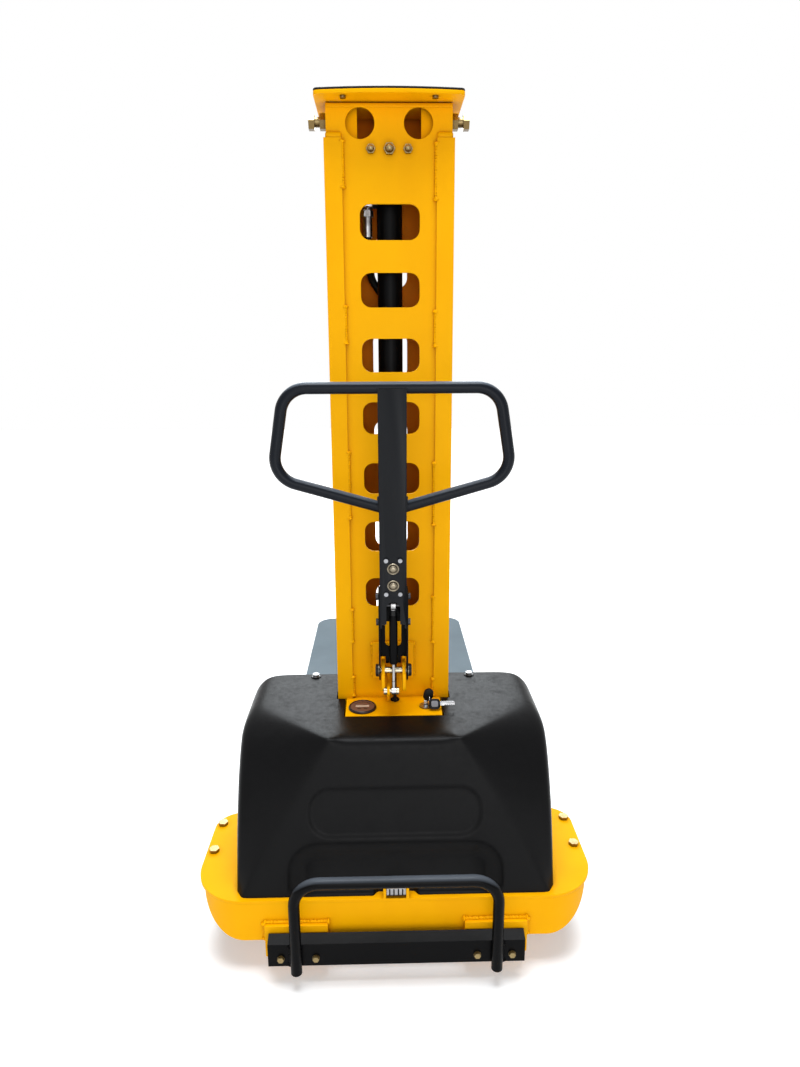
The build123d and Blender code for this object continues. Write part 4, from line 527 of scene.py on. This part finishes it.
def bead_shape(points, radius, seed, sides=8, ripple=0.0045):
    """A lumpy weld bead along a line of points, swollen and closed at both ends."""
    draw = random.Random(seed)
    path = [Vector(p) for p in points]
    length = sum((b - a).length for a, b in zip(path, path[1:]))
    steps = max(12, int(length / BEAD_STEP))
    verts, faces, side = [], [], None
    for step in range(steps + 1):
        goal = length * step / steps
        for a, b in zip(path, path[1:]):
            span = (b - a).length
            if goal <= span or b is path[-1]:
                spot, along = a.lerp(b, min(1.0, goal / span)), (b - a).normalized()
                break
            goal -= span
        side = (side - along * side.dot(along)).normalized() if side else along.orthogonal().normalized()
        other = along.cross(side)
        end = min(step, steps - step)
        swell = BEAD_END[end] if end < len(BEAD_END) else 1.0
        wave = BEAD_TROUGH + BEAD_WAVE * abs(math.sin(math.pi * length * step / steps / ripple))
        size = radius * swell * (wave + draw.uniform(-BEAD_UNEVEN, BEAD_UNEVEN))
        drift = [draw.uniform(-BEAD_WANDER, BEAD_WANDER) for _ in range(2)]
        wander = side * drift[0] + other * drift[1]
        for k in range(sides):
            angle = 2 * math.pi * k / sides
            verts.append(spot + wander + (side * math.cos(angle) + other * math.sin(angle)) * size)
    for step in range(steps):
        for k in range(sides):
            low, high = step * sides, (step + 1) * sides
            faces.append((low + k, low + (k + 1) % sides, high + (k + 1) % sides, high + k))
    faces.append(tuple(range(sides))[::-1])
    faces.append(tuple(steps * sides + k for k in range(sides)))
    return verts, faces


def ring_bead(origin, axis, radius, bead, seed, sides=36):
    """A weld bead once round an axis."""
    origin = Vector(origin)
    axis, u, v = circle_axes(axis)
    turns = [2 * math.pi * k / sides for k in range(sides + 1)]
    return bead_shape([origin + (u * math.cos(a) + v * math.sin(a)) * radius for a in turns], bead, seed)


# Rear cover: leaning panel, swept wings, rounded shoulders, a stadium recess and a pocket round the latch
COVER_HEIGHT = COVER_TOP - COVER_FOOT
PANEL_STATION, PANEL_TRAVEL = 0.008, 0.063
PANEL_LEAN = PANEL_TRAVEL / COVER_HEIGHT
PANEL_STRETCH = math.hypot(1.0, PANEL_LEAN)
RIDGE_HALF, RIDGE_DRAW = 0.276, 0.153
WING_STATION, WING_SWEEP = 0.030, 0.185
SHOULDER = 0.034
COVER_WALL = 0.004
COVER_MIDDLE = Vector((0.0, at(0.24), COVER_TOP))
COVER_ROWS, COVER_SKIRT_ROWS, COVER_RINGS, COVER_PASSES = 104, 14, 34, 70
COVER_COLUMNS = (40, 44, 210, 44, 40, 84)
PANEL_SIDE, PANEL_BLEND = 2, 0.16
STADIUM_Z, STADIUM, STADIUM_DEPTH, STADIUM_EDGE = 0.2965, (0.154, 0.0435, 0.038), 0.0035, 0.005
POCKET_Z, POCKET, POCKET_DEPTH, POCKET_EDGE = 0.088, (0.180, 0.1435, 0.036), 0.010, 0.018
RECESS_REACH, RECESS_BAND = 0.215, 0.020
FOOT_STRIP, LATCH_GAP = (0.1525, 0.168), (0.042, 0.032)
MAST_GAP, MAST_STATION = 0.113, 0.227
SHELF_GAP, SHELF_STATION, SHELF_FOOT = 0.0955, 0.152, 0.395


def cover_corners(level):
    """The plan's six corners at a share of the height, as x and station."""
    rise = max(0.0, SHOULDER - COVER_HEIGHT * (1.0 - level))
    half = COVER_HALF - SHOULDER + math.sqrt(max(0.0, SHOULDER ** 2 - rise ** 2))
    ridge_half = RIDGE_HALF - RIDGE_DRAW * level
    ridge = PANEL_STATION + PANEL_TRAVEL * level
    wing = WING_STATION + WING_SWEEP * (1.0 - math.sqrt(1.0 - max(level, 0.0) ** 2))
    return ((-half, COVER_FRONT), (-half, wing), (-ridge_half, ridge),
            (ridge_half, ridge), (half, wing), (half, COVER_FRONT))


def cover_columns():
    """Each column's side of the plan, share along it, and how strongly its rows crowd upward."""
    columns = []
    for side, count in enumerate(COVER_COLUMNS):
        for number in range(count):
            share = number / count
            ends = max(smoothstep(PANEL_BLEND, 0.0, share), smoothstep(1.0 - PANEL_BLEND, 1.0, share))
            columns.append((side, share, ends if side == PANEL_SIDE else 1.0))
    return columns


def cover_grid(shell):
    """Rows of points up the walls, then rings over the top to its middle."""
    columns = cover_columns()
    rows = []
    for row in range(-COVER_SKIRT_ROWS, COVER_ROWS + 1):
        share = row / COVER_ROWS
        swept = math.sin(share * math.pi / 2) if row > 0 else share * math.pi / 2
        ring = []
        for side, along, crowd in columns:
            level = (1.0 - crowd) * share + crowd * swept
            corners = cover_corners(level)
            start, end = corners[side], corners[(side + 1) % len(corners)]
            x = start[0] + (end[0] - start[0]) * along
            station = start[1] + (end[1] - start[1]) * along
            ring.append(shell.verts.new((x, at(station), COVER_FOOT + COVER_HEIGHT * level)))
        rows.append(ring)
    rim = [vert.co.copy() for vert in rows[-1]]
    for number in range(1, COVER_RINGS):
        share = number / COVER_RINGS
        rows.append([shell.verts.new(COVER_MIDDLE + (point - COVER_MIDDLE) * (1.0 - share)) for point in rim])
    count = len(columns)
    for lower, upper in zip(rows, rows[1:]):
        for k in range(count):
            shell.faces.new((lower[k], lower[(k + 1) % count], upper[(k + 1) % count], upper[k]))
    hub = shell.verts.new(COVER_MIDDLE)
    for k in range(count):
        shell.faces.new((rows[-1][k], rows[-1][(k + 1) % count], hub))


def cover_recesses(shell):
    """Sink the stadium and the pocket into the panel, all but the pocket's foot beside the latch."""
    inward = Vector((0.0, 1.0, -PANEL_LEAN)).normalized()
    for vert in shell.verts:
        x, y, z = vert.co
        panel = at(PANEL_STATION + PANEL_LEAN * (z - COVER_FOOT))
        if abs(x) > RECESS_REACH or y > panel + RECESS_BAND:
            continue
        stadium = round_box(x, (z - STADIUM_Z) * PANEL_STRETCH, *STADIUM)
        pocket = round_box(x, (z - POCKET_Z) * PANEL_STRETCH, *POCKET)
        foot = max(smoothstep(*FOOT_STRIP, z), smoothstep(*LATCH_GAP, abs(x)))
        sink = STADIUM_DEPTH * smoothstep(STADIUM_EDGE, -STADIUM_EDGE, stadium)
        sink += POCKET_DEPTH * foot * smoothstep(POCKET_EDGE, -POCKET_EDGE, pocket)
        vert.co += inward * sink


def cover_trim(shell):
    """Cut the foot level and open the top round the mast and the shelf."""
    cuts = [((0, 0, COVER_FOOT), Z)]
    cuts += [((side * gap, 0, 0), X) for gap in (MAST_GAP, SHELF_GAP) for side in SIDES]
    cuts += [((0, at(station), 0), Y) for station in (MAST_STATION, SHELF_STATION)]
    for point, normal in cuts:
        every = shell.verts[:] + shell.edges[:] + shell.faces[:]
        bmesh.ops.bisect_plane(shell, geom=every, plane_co=point, plane_no=normal, dist=1e-6)
    waste = []
    for face in shell.faces:
        x, y, z = face.calc_center_median()
        below = z < COVER_FOOT
        by_mast = abs(x) < MAST_GAP and y > at(MAST_STATION)
        by_shelf = abs(x) < SHELF_GAP and y > at(SHELF_STATION) and z > SHELF_FOOT
        if below or by_mast or by_shelf:
            waste.append(face)
    bmesh.ops.delete(shell, geom=waste, context="FACES")
    bmesh.ops.recalc_face_normals(shell, faces=shell.faces)
    top_face = max(shell.faces, key=lambda face: face.calc_center_median().z)
    if top_face.normal.z < 0:
        bmesh.ops.reverse_faces(shell, faces=shell.faces)


def walled(shell, name, thickness):
    """The shell as a mesh with a wall's thickness on its inside."""
    sheet = bpy.data.objects.new("cover_sheet", bpy.data.meshes.new("cover_sheet"))
    shell.to_mesh(sheet.data)
    shell.free()
    scene.collection.objects.link(sheet)
    wall = sheet.modifiers.new("wall", "SOLIDIFY")
    wall.thickness = thickness
    wall.offset = -1.0
    graph = bpy.context.evaluated_depsgraph_get()
    mesh = bpy.data.meshes.new_from_object(sheet.evaluated_get(graph))
    bpy.data.objects.remove(sheet)
    mesh.materials.clear()
    mesh.name = name
    return mesh


shell = bmesh.new()
cover_grid(shell)
for _ in range(COVER_PASSES):
    bmesh.ops.smooth_vert(shell, verts=shell.verts, factor=0.5, use_axis_x=True, use_axis_y=True,
                          use_axis_z=True)
cover_recesses(shell)
cover_trim(shell)
mesh = walled(shell, "moulded_cover", COVER_WALL)
made = dress("moulded_cover", mesh, COVER, "chassis", COVER_SHARP)
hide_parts("rear_cover")

# Weld beads along the mast's seams and beside the tiller bracket
SEAM_X, SEAM_STATION, SEAM_BEAD = 0.0795, 0.2336, 0.0034
SEAM_WELDS = {
    -1: ((1.366, 1.444), (1.110, 1.178), (0.791, 0.921), (0.543, 0.616), (0.429, 0.475)),
    1: ((1.346, 1.440), (1.104, 1.170), (0.778, 0.901), (0.541, 0.640), (0.429, 0.469)),
}
BRACKET_WELD_X, BRACKET_WELD_STATION, BRACKET_WELD, BRACKET_BEAD = 0.0405, 0.2345, (0.474, 0.544), 0.003
seams = []
for side, spans in SEAM_WELDS.items():
    for span in spans:
        line = [(side * SEAM_X, at(SEAM_STATION), z) for z in span]
        seams.append(bead_shape(line, SEAM_BEAD, len(seams)))
    line = [(side * BRACKET_WELD_X, at(BRACKET_WELD_STATION), z) for z in BRACKET_WELD]
    seams.append(bead_shape(line, BRACKET_BEAD, BRACKET_SEED + side))
add_piece("mast_seam_welds", join_shapes(seams), YELLOW, "chassis", WELD_SHARP)

# Smooth caps on the mast channels
CAP_X, CAP_STATION, CAP_Z = 0.0935, 0.2392, 1.4488
CAP_OUTLINE = rounded(0.0275, 0.0125, 0.0045)
CAP_THICK, CAP_EDGE = 0.0085, 0.0042
caps = [plate(CAP_OUTLINE, (side * CAP_X, at(CAP_STATION), CAP_Z), *FACING, 0.0, CAP_THICK, CAP_EDGE)
        for side in SIDES]
add_piece("channel_caps", join_shapes(caps), YELLOW, "chassis", WELD_SHARP)

# Welds over and beside the leg collars
COLLAR_WELD_STATION, COLLAR_RIPPLE = -0.001, 0.006
COLLAR_TOP_X, COLLAR_TOP_Z, COLLAR_TOP_BEAD = (0.1186, 0.2384), 0.1065, 0.0036
COLLAR_SIDE_X, COLLAR_SIDE_Z, COLLAR_SIDE_BEAD = 0.2364, (0.108, 0.070), 0.0034
collars = []
for side in SIDES:
    y = at(COLLAR_WELD_STATION)
    over = [(side * x, y, COLLAR_TOP_Z) for x in COLLAR_TOP_X]
    collars.append(bead_shape(over, COLLAR_TOP_BEAD, COLLAR_TOP_SEED + side, ripple=COLLAR_RIPPLE))
    beside = [(side * COLLAR_SIDE_X, y, z) for z in COLLAR_SIDE_Z]
    collars.append(bead_shape(beside, COLLAR_SIDE_BEAD, COLLAR_SIDE_SEED + side, ripple=COLLAR_RIPPLE))
add_piece("collar_welds", join_shapes(collars), YELLOW, "chassis", WELD_SHARP)

# Welds round the loop's lower ends, where they meet the stem
LOOP_END = (0.0243, 0.329, 0.005)
LOOP_RADIUS, LOOP_BEAD = 0.0102, 0.0016
joints = []
for side in SIDES:
    across, up, out = LOOP_END
    joints.append(ring_bead(tiller(side * across, up, out), X, LOOP_RADIUS, LOOP_BEAD, LOOP_SEED + side))
add_piece("tiller_welds", join_shapes(joints), DARK, "tiller", WELD_SHARP)

# Welds along both sides of the hoop's feet
HOOP_X, HOOP_EDGE, HOOP_STATION, HOOP_WELD, HOOP_BEAD = 0.182, 0.0065, -0.0335, (0.043, 0.085), 0.0026
feet = []
for side in SIDES:
    for edge in (-HOOP_EDGE, HOOP_EDGE):
        line = [(side * HOOP_X + edge, at(HOOP_STATION), z) for z in HOOP_WELD]
        feet.append(bead_shape(line, HOOP_BEAD, HOOP_SEED + len(feet)))
add_piece("hoop_welds", join_shapes(feet), BLACK, "legs", WELD_SHARP)

# Push buttons: low bezels and domes with a groove, as radius and height above the stem's face
BEZEL = ((0, -0.018), (0.0069, -0.018), (0.0069, -0.0005), (0.0104, -0.0001), (0.0108, 0.0009),
         (0.0103, 0.0018), (0.0094, 0.0022), (0.0086, 0.0019), (0.0078, 0.0012), (0.0073, 0.0009),
         (0.0071, -0.0085), (0, -0.0085))
DOME = ((0, -0.005), (0.0068, -0.005), (0.0068, 0.0012), (0.0064, 0.0022), (0.0054, 0.0028),
        (0.0050, 0.0024), (0.0046, 0.0024), (0.0043, 0.0030), (0.0030, 0.0034), (0.0015, 0.0036),
        (0, 0.00365))
STEM_FACE = 0.020
BUTTONS = {"raise_button": 0.212, "lower_button": 0.180}
bezels = [turned(BEZEL, tiller(0, up, STEM_FACE), STEM_OUT) for up in BUTTONS.values()]
made = add_piece("button_bezels", join_shapes(bezels), BRONZE, "tiller")
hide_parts("button_barrels")
for node, up in BUTTONS.items():
    dome = turned(DOME, tiller(0, up, STEM_FACE), STEM_OUT)
    made = add_piece(node + "_dome", dome, BRONZE, node)
    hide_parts(node)

# Charge gauge: dark rim, plain brown face, pale display strip, raised marks
GAUGE = Vector((-0.0605, at(0.188), COVER_TOP))
RIM = ((0, -0.036), (0.0242, -0.036), (0.0245, -0.035), (0.0245, 0.0), (0.0268, 0.0), (0.0270, 0.0012),
       (0.0268, 0.0028), (0.0258, 0.0042), (0.0246, 0.0048), (0.0236, 0.0044), (0.0231, 0.0034), (0, 0.0034))
DIAL = ((0, 0.0032), (0.0229, 0.0032), (0.0229, 0.0037), (0, 0.0037))
GAUGE_SIDES = 64
MARK_FOOT, MARK_TOP, STRIP_TOP, MARK_EDGE = 0.0036, 0.0041, 0.0042, 0.0002
STRIP_OUTLINE = rounded(0.026, 0.0065, 0.0012)
TICK_OUTLINE, TICK_RADIUS = rounded(0.0036, 0.0012, 0.0003), 0.0172
TICK_COUNT, TICK_FIRST, TICK_TURN = 11, 35, 11
BAR_OUTLINE, BAR_X, BAR_Y = rounded(0.0075, 0.003, 0.0006), 0.006, -0.0105
made = add_piece("gauge_rim", turned(RIM, GAUGE, Z, GAUGE_SIDES), RIM_FINISH, "chassis")
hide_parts("battery_gauge")
add_piece("gauge_face", turned(DIAL, GAUGE, Z, GAUGE_SIDES), FACE_FINISH, "chassis")
strip = plate(STRIP_OUTLINE, GAUGE, *LEVEL, MARK_FOOT, STRIP_TOP, MARK_EDGE)
add_piece("gauge_strip", strip, STRIP_FINISH, "chassis")
marks = []
for number in range(TICK_COUNT):
    turn = math.radians(TICK_FIRST + TICK_TURN * number)
    spoke = Vector((math.cos(turn), math.sin(turn), 0.0))
    spot = GAUGE + spoke * TICK_RADIUS
    marks.append(plate(TICK_OUTLINE, spot, spoke, Z.cross(spoke), MARK_FOOT, MARK_TOP, MARK_EDGE))
for side in SIDES:
    spot = GAUGE + Vector((side * BAR_X, BAR_Y, 0))
    marks.append(plate(BAR_OUTLINE, spot, *LEVEL, MARK_FOOT, MARK_TOP, MARK_EDGE))
add_piece("gauge_marks", join_shapes(marks), RIM_FINISH, "chassis")

# Keys: one in the switch, the spare hanging beside it on a wire ring
KEY_X, KEY_Y = 0.063, at(0.191)
SWAY, TIP = math.radians(14.0), math.radians(56.0)
BOW_U = Vector((math.cos(SWAY), 0.0, -math.sin(SWAY)))
BOW_V = Vector((math.sin(SWAY), 0.0, math.cos(SWAY)))
BOW_PLACE, BOW_OUTLINE = (0.0675, KEY_Y, 0.4515), rounded(0.0185, 0.025, 0.009)
SPARE = Vector((0.0725, at(0.180), 0.4435))
SPARE_AXES = X, Vector((0.0, math.cos(TIP), math.sin(TIP)))
SPARE_MIDDLE = (0.0065, -0.006)
SPARE_OUTLINE = rounded(0.021, 0.020, 0.006, *SPARE_MIDDLE)
INLAY_OUTLINE = rounded(0.013, 0.0115, 0.003, *SPARE_MIDDLE)
BOW_HALF, BOW_EDGE = 0.003, 0.0014
SPARE_HALF, SPARE_EDGE = 0.002, 0.001
INLAY_LOW, INLAY_HIGH, INLAY_EDGE = 0.0012, 0.0024, 0.0003
METAL_HALF, METAL_EDGE = 0.001, 0.0002
bows = [plate(BOW_OUTLINE, BOW_PLACE, BOW_U, BOW_V, -BOW_HALF, BOW_HALF, BOW_EDGE),
        plate(SPARE_OUTLINE, SPARE, *SPARE_AXES, -SPARE_HALF, SPARE_HALF, SPARE_EDGE)]
made = add_piece("key_bows", join_shapes(bows), PLASTIC, "keys")
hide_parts("key_set")
inlay = plate(INLAY_OUTLINE, SPARE, *SPARE_AXES, INLAY_LOW, INLAY_HIGH, INLAY_EDGE)
add_piece("key_inlay", inlay, INLAY, "keys")

# Their metal: the spare's blade with five cuts, the ring, the first key's shank and the switch's plug
CUTS, FIRST_CUT, CUT_PITCH = 5, 0.025, 0.004
BLADE_START, BLADE_TIP, BLADE_LOW, BLADE_HIGH = 0.0165, 0.0455, -0.009, -0.001
blade = [(BLADE_START, BLADE_LOW), (FIRST_CUT - 0.001, BLADE_LOW)]
for number in range(CUTS):
    x = FIRST_CUT + CUT_PITCH * number
    blade += [(x, BLADE_LOW), (x + 0.0012, -0.0070 + 0.0006 * (number % 2)),
              (x + 0.0028, -0.0072), (x + 0.0036, -0.0088)]
blade += [(BLADE_TIP, -0.0065), (BLADE_TIP, -0.0035), (BLADE_TIP - 0.0015, BLADE_HIGH),
          (BLADE_START, BLADE_HIGH)]
RING_PLACE, RING_RADIUS, RING_WIRE = (0.0695, KEY_Y, 0.4405), 0.009, 0.0009
SHANK_PLACE, SHANK_OUTLINE = (KEY_X, KEY_Y, 0.4345), rounded(0.008, 0.011, 0.001)
PLUG = ((0, 0.407), (0.0059, 0.407), (0.0059, 0.4298), (0.0053, 0.4304), (0, 0.4304))
metals = [plate(blade, SPARE, *SPARE_AXES, -METAL_HALF, METAL_HALF, METAL_EDGE),
          ring_shape(RING_PLACE, X, RING_RADIUS, RING_WIRE),
          plate(SHANK_OUTLINE, SHANK_PLACE, *FACING, -METAL_HALF, METAL_HALF, METAL_EDGE),
          turned(PLUG, (KEY_X, KEY_Y, 0), Z)]
add_piece("key_metal", join_shapes(metals), STEEL, "keys")

# Gusset from the tiller bracket's tab down to the shelf
GUSSET = ((at(0.2135), 0.4275), (at(0.2285), 0.4275), (at(0.2285), 0.480), (at(0.205), 0.480))
GUSSET_X, GUSSET_HALF, GUSSET_EDGE = -0.010, 0.0025, 0.0006
gusset = plate(GUSSET, (GUSSET_X, 0, 0), *SIDEWAYS, -GUSSET_HALF, GUSSET_HALF, GUSSET_EDGE)
add_piece("bracket_gusset", gusset, YELLOW, "chassis")

# Ears carried on down round the spring's lower bolt
EAR = rounded(0.032, 0.042, 0.012, at(0.161), 0.4990)
EAR_X, EAR_HALF, EAR_EDGE = 0.0195, 0.0029, 0.0006
ears = [plate(EAR, (side * EAR_X, 0, 0), *SIDEWAYS, -EAR_HALF, EAR_HALF, EAR_EDGE) for side in SIDES]
add_piece("bracket_ears", join_shapes(ears), YELLOW, "chassis")

# Grommet where the cable enters the shelf
GROMMET_PLACE, GROMMET_RADIUS, GROMMET_ROUND = (0.003, at(0.221), COVER_TOP + 0.0005), 0.0068, 0.0022
grommet = ring_shape(GROMMET_PLACE, Z, GROMMET_RADIUS, GROMMET_ROUND)
add_piece("cable_grommet", grommet, RUBBER, "chassis")

# Back of the stem behind its slot
BACK_OUTLINE = rounded(0.0412, 0.0725, 0.002, 0.0, 0.1308)
BACK_LOW, BACK_HIGH, BACK_EDGE = -0.0148, -0.0128, 0.0003
back = plate(BACK_OUTLINE, PIVOT, X, STEM_UP, BACK_LOW, BACK_HIGH, BACK_EDGE)
add_piece("stem_back", back, BLACK, "tiller")

# Gas spring's outer tube, as radius and height above the spring's lower bolt
SPRING_LOW = Vector((0.0, at(0.148), 0.4815))
TUBE = ((0.0052, 0.0562), (0.0064, 0.0562), (0.0072, 0.0572), (0.0077, 0.0590), (0.0077, 0.1480),
        (0.0072, 0.1506), (0.0064, 0.1516), (0.0052, 0.1516), (0.0052, 0.0562))
tube = turned(TUBE, SPRING_LOW, SPRING_PIN - SPRING_LOW)
add_piece("spring_tube", tube, BLACK, "gas_cylinder")

# Folded edge along the head of the mast plate
FOLD, FOLD_STATION, FOLD_Z, FOLD_THICK = rounded(0.210, 0.006, 0.002), 0.2352, 1.4948, 0.0012
fold = plate(FOLD, (0, at(FOLD_STATION), FOLD_Z), *FACING, 0.0, FOLD_THICK, FOLD_THICK / 2)
add_piece("head_fold", fold, YELLOW, "chassis")

# Inner flanges of the lifting mast's rails
rail_low, rail_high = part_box("inner_rails")
LIP_EDGE, LIP_SHEET, LIP_FOOT = 0.054, 0.002, 0.300
LIP_INSET, LIP_LIFT, LIP_CORNER = 0.0005, 0.0003, 0.001
lip_wide, lip_tall = rail_high[0] - LIP_INSET - LIP_EDGE, rail_high[2] - LIP_FOOT
lip_face = rail_low[1] + LIP_LIFT + LIP_SHEET
lips = []
for side in SIDES:
    middle = side * (LIP_EDGE + lip_wide / 2), LIP_FOOT + lip_tall / 2
    strip = rounded(lip_wide, lip_tall, LIP_CORNER, *middle)
    lips.append(plate(strip, (0, lip_face, 0), *FACING, 0.0, LIP_SHEET))
add_piece("rail_flanges", join_shapes(lips), YELLOW, "lift")

# Ribs on the face of the latch
RIB_WIDTH, RIB_TALL, RIB_CORNER, RIB_THICK = 0.0022, 0.013, 0.0008, 0.0009
RIB_X, RIB_STATION, RIB_Z = (-0.0115, -0.004, 0.004, 0.0115), 0.0004, 0.163
ribs = []
for x in RIB_X:
    rib = rounded(RIB_WIDTH, RIB_TALL, RIB_CORNER, x, 0.0)
    ribs.append(plate(rib, (0, at(RIB_STATION), RIB_Z), *FACING, 0.0, RIB_THICK, RIB_THICK / 3))
add_piece("latch_ribs", join_shapes(ribs), BLACK, "latch")


# Softened edges, on flat faces joined from the CAD mesh's triangles
def soften(names, width, segments=2):
    for name in names.split():
        weld = nodes[name].modifiers.new("weld", "WELD")
        weld.merge_threshold = 0.00002
        flat = nodes[name].modifiers.new("flat", "DECIMATE")
        flat.decimate_type = "DISSOLVE"
        flat.angle_limit = math.radians(0.4)
        bevel = nodes[name].modifiers.new("edge", "BEVEL")
        bevel.width = width
        bevel.segments = segments
        bevel.limit_method = "ANGLE"
        bevel.angle_limit = math.radians(40)
        bevel.harden_normals = True


soften("instrument_shelf top_plate top_pad base_plate left_fork right_fork left_leg right_leg", 0.0016)
soften("tiller_stem tiller_yoke tiller_bracket mast_channels mast_rear_plate leg_sleeves", 0.0009)
soften("leg_cross_plate", 0.004, 3)

# Light: a white room, soft light from above and beyond the mast, weaker light from the operator's side
WHITE = (1.0, 1.0, 1.0, 1.0)
ROOM_LIGHT, ROOM_SEEN = 0.33, 1.0


def sight(tree):
    """One for the rays that see the room, zero for those that only light it."""
    path = tree.nodes.new("ShaderNodeLightPath")
    total = path.outputs["Is Camera Ray"]
    for name in ("Is Glossy Ray", "Is Transmission Ray"):
        made = tree.nodes.new("ShaderNodeMath")
        made.operation = "MAXIMUM"
        tree.links.new(total, made.inputs[0])
        tree.links.new(path.outputs[name], made.inputs[1])
        total = made.outputs[0]
    return total


scene.world = bpy.data.worlds.new("room")
scene.world.use_nodes = True
tree = scene.world.node_tree
room = tree.nodes["Background"]
room.inputs["Color"].default_value = WHITE
room.inputs["Strength"].default_value = ROOM_LIGHT
seen = tree.nodes.new("ShaderNodeBackground")
seen.inputs["Color"].default_value = WHITE
seen.inputs["Strength"].default_value = ROOM_SEEN
choose = tree.nodes.new("ShaderNodeMixShader")
tree.links.new(sight(tree), choose.inputs[0])
tree.links.new(room.outputs[0], choose.inputs[1])
tree.links.new(seen.outputs[0], choose.inputs[2])
tree.links.new(choose.outputs[0], tree.nodes["World Output"].inputs["Surface"])


def lamp(name, place, target, size, power, color=(1.0, 1.0, 1.0)):
    data = bpy.data.lights.new(name, "AREA")
    data.size = size
    data.energy = power
    data.color = color
    made = bpy.data.objects.new(name, data)
    made.location = place
    made.rotation_euler = (Vector(target) - Vector(place)).to_track_quat("-Z", "Y").to_euler()
    made.visible_camera = False
    scene.collection.objects.link(made)


lamp("key", (-0.5, -3.4, 1.9), (0, -0.6, 0.8), 2.2, 14)
lamp("front", (0.4, -3.6, 0.9), (0, -0.6, 0.7), 1.6, 21)
lamp("sky", (0.0, 2.6, 2.7), (0, -0.5, 0.4), 2.2, 105, (0.9, 0.96, 1.0))
lamp("top", (0.0, -0.75, 4.2), (0, -0.6, 0.2), 2.2, 185, (0.94, 0.97, 1.0))

# Pale floor that keeps the shadow and fades to white away from the object
FLOOR_HALF = 9
GLOW_REACH, GLOW = (0.9, 2.6), (0.3, 0.9)
corners = [(x * FLOOR_HALF, y * FLOOR_HALF, 0) for x, y in ((-1, -1), (1, -1), (1, 1), (-1, 1))]
floor_mesh = bpy.data.meshes.new("floor")
floor_mesh.from_pydata(corners, [], [(0, 1, 2, 3)])
floor = bpy.data.objects.new("floor", floor_mesh)
scene.collection.objects.link(floor)
g = Graph("floor_white")
tone = g.mix(g.remap(g.noise(3.0), 0.3, 0.7, 0.0, 1.0), rgb(238, 238, 238), rgb(232, 232, 232))
g.finish(tone, 0.7)
spread = g.node("ShaderNodeVectorMath", operation="LENGTH")
g.put(spread.inputs[0], g.place)
glow = g.node("ShaderNodeEmission")
glow.inputs["Color"].default_value = WHITE
g.put(glow.inputs["Strength"], g.remap(spread.outputs["Value"], *GLOW_REACH, *GLOW))
both = g.node("ShaderNodeAddShader")
g.put(both.inputs[0], g.shader.outputs[0])
g.put(both.inputs[1], glow.outputs[0])
blend = g.node("ShaderNodeMixShader")
g.put(blend.inputs[0], sight(g.tree))
g.put(blend.inputs[1], g.shader.outputs[0])
g.put(blend.inputs[2], both.outputs[0])
g.put(g.tree.nodes["Material Output"].inputs["Surface"], blend.outputs[0])
floor_mesh.materials.append(g.material)
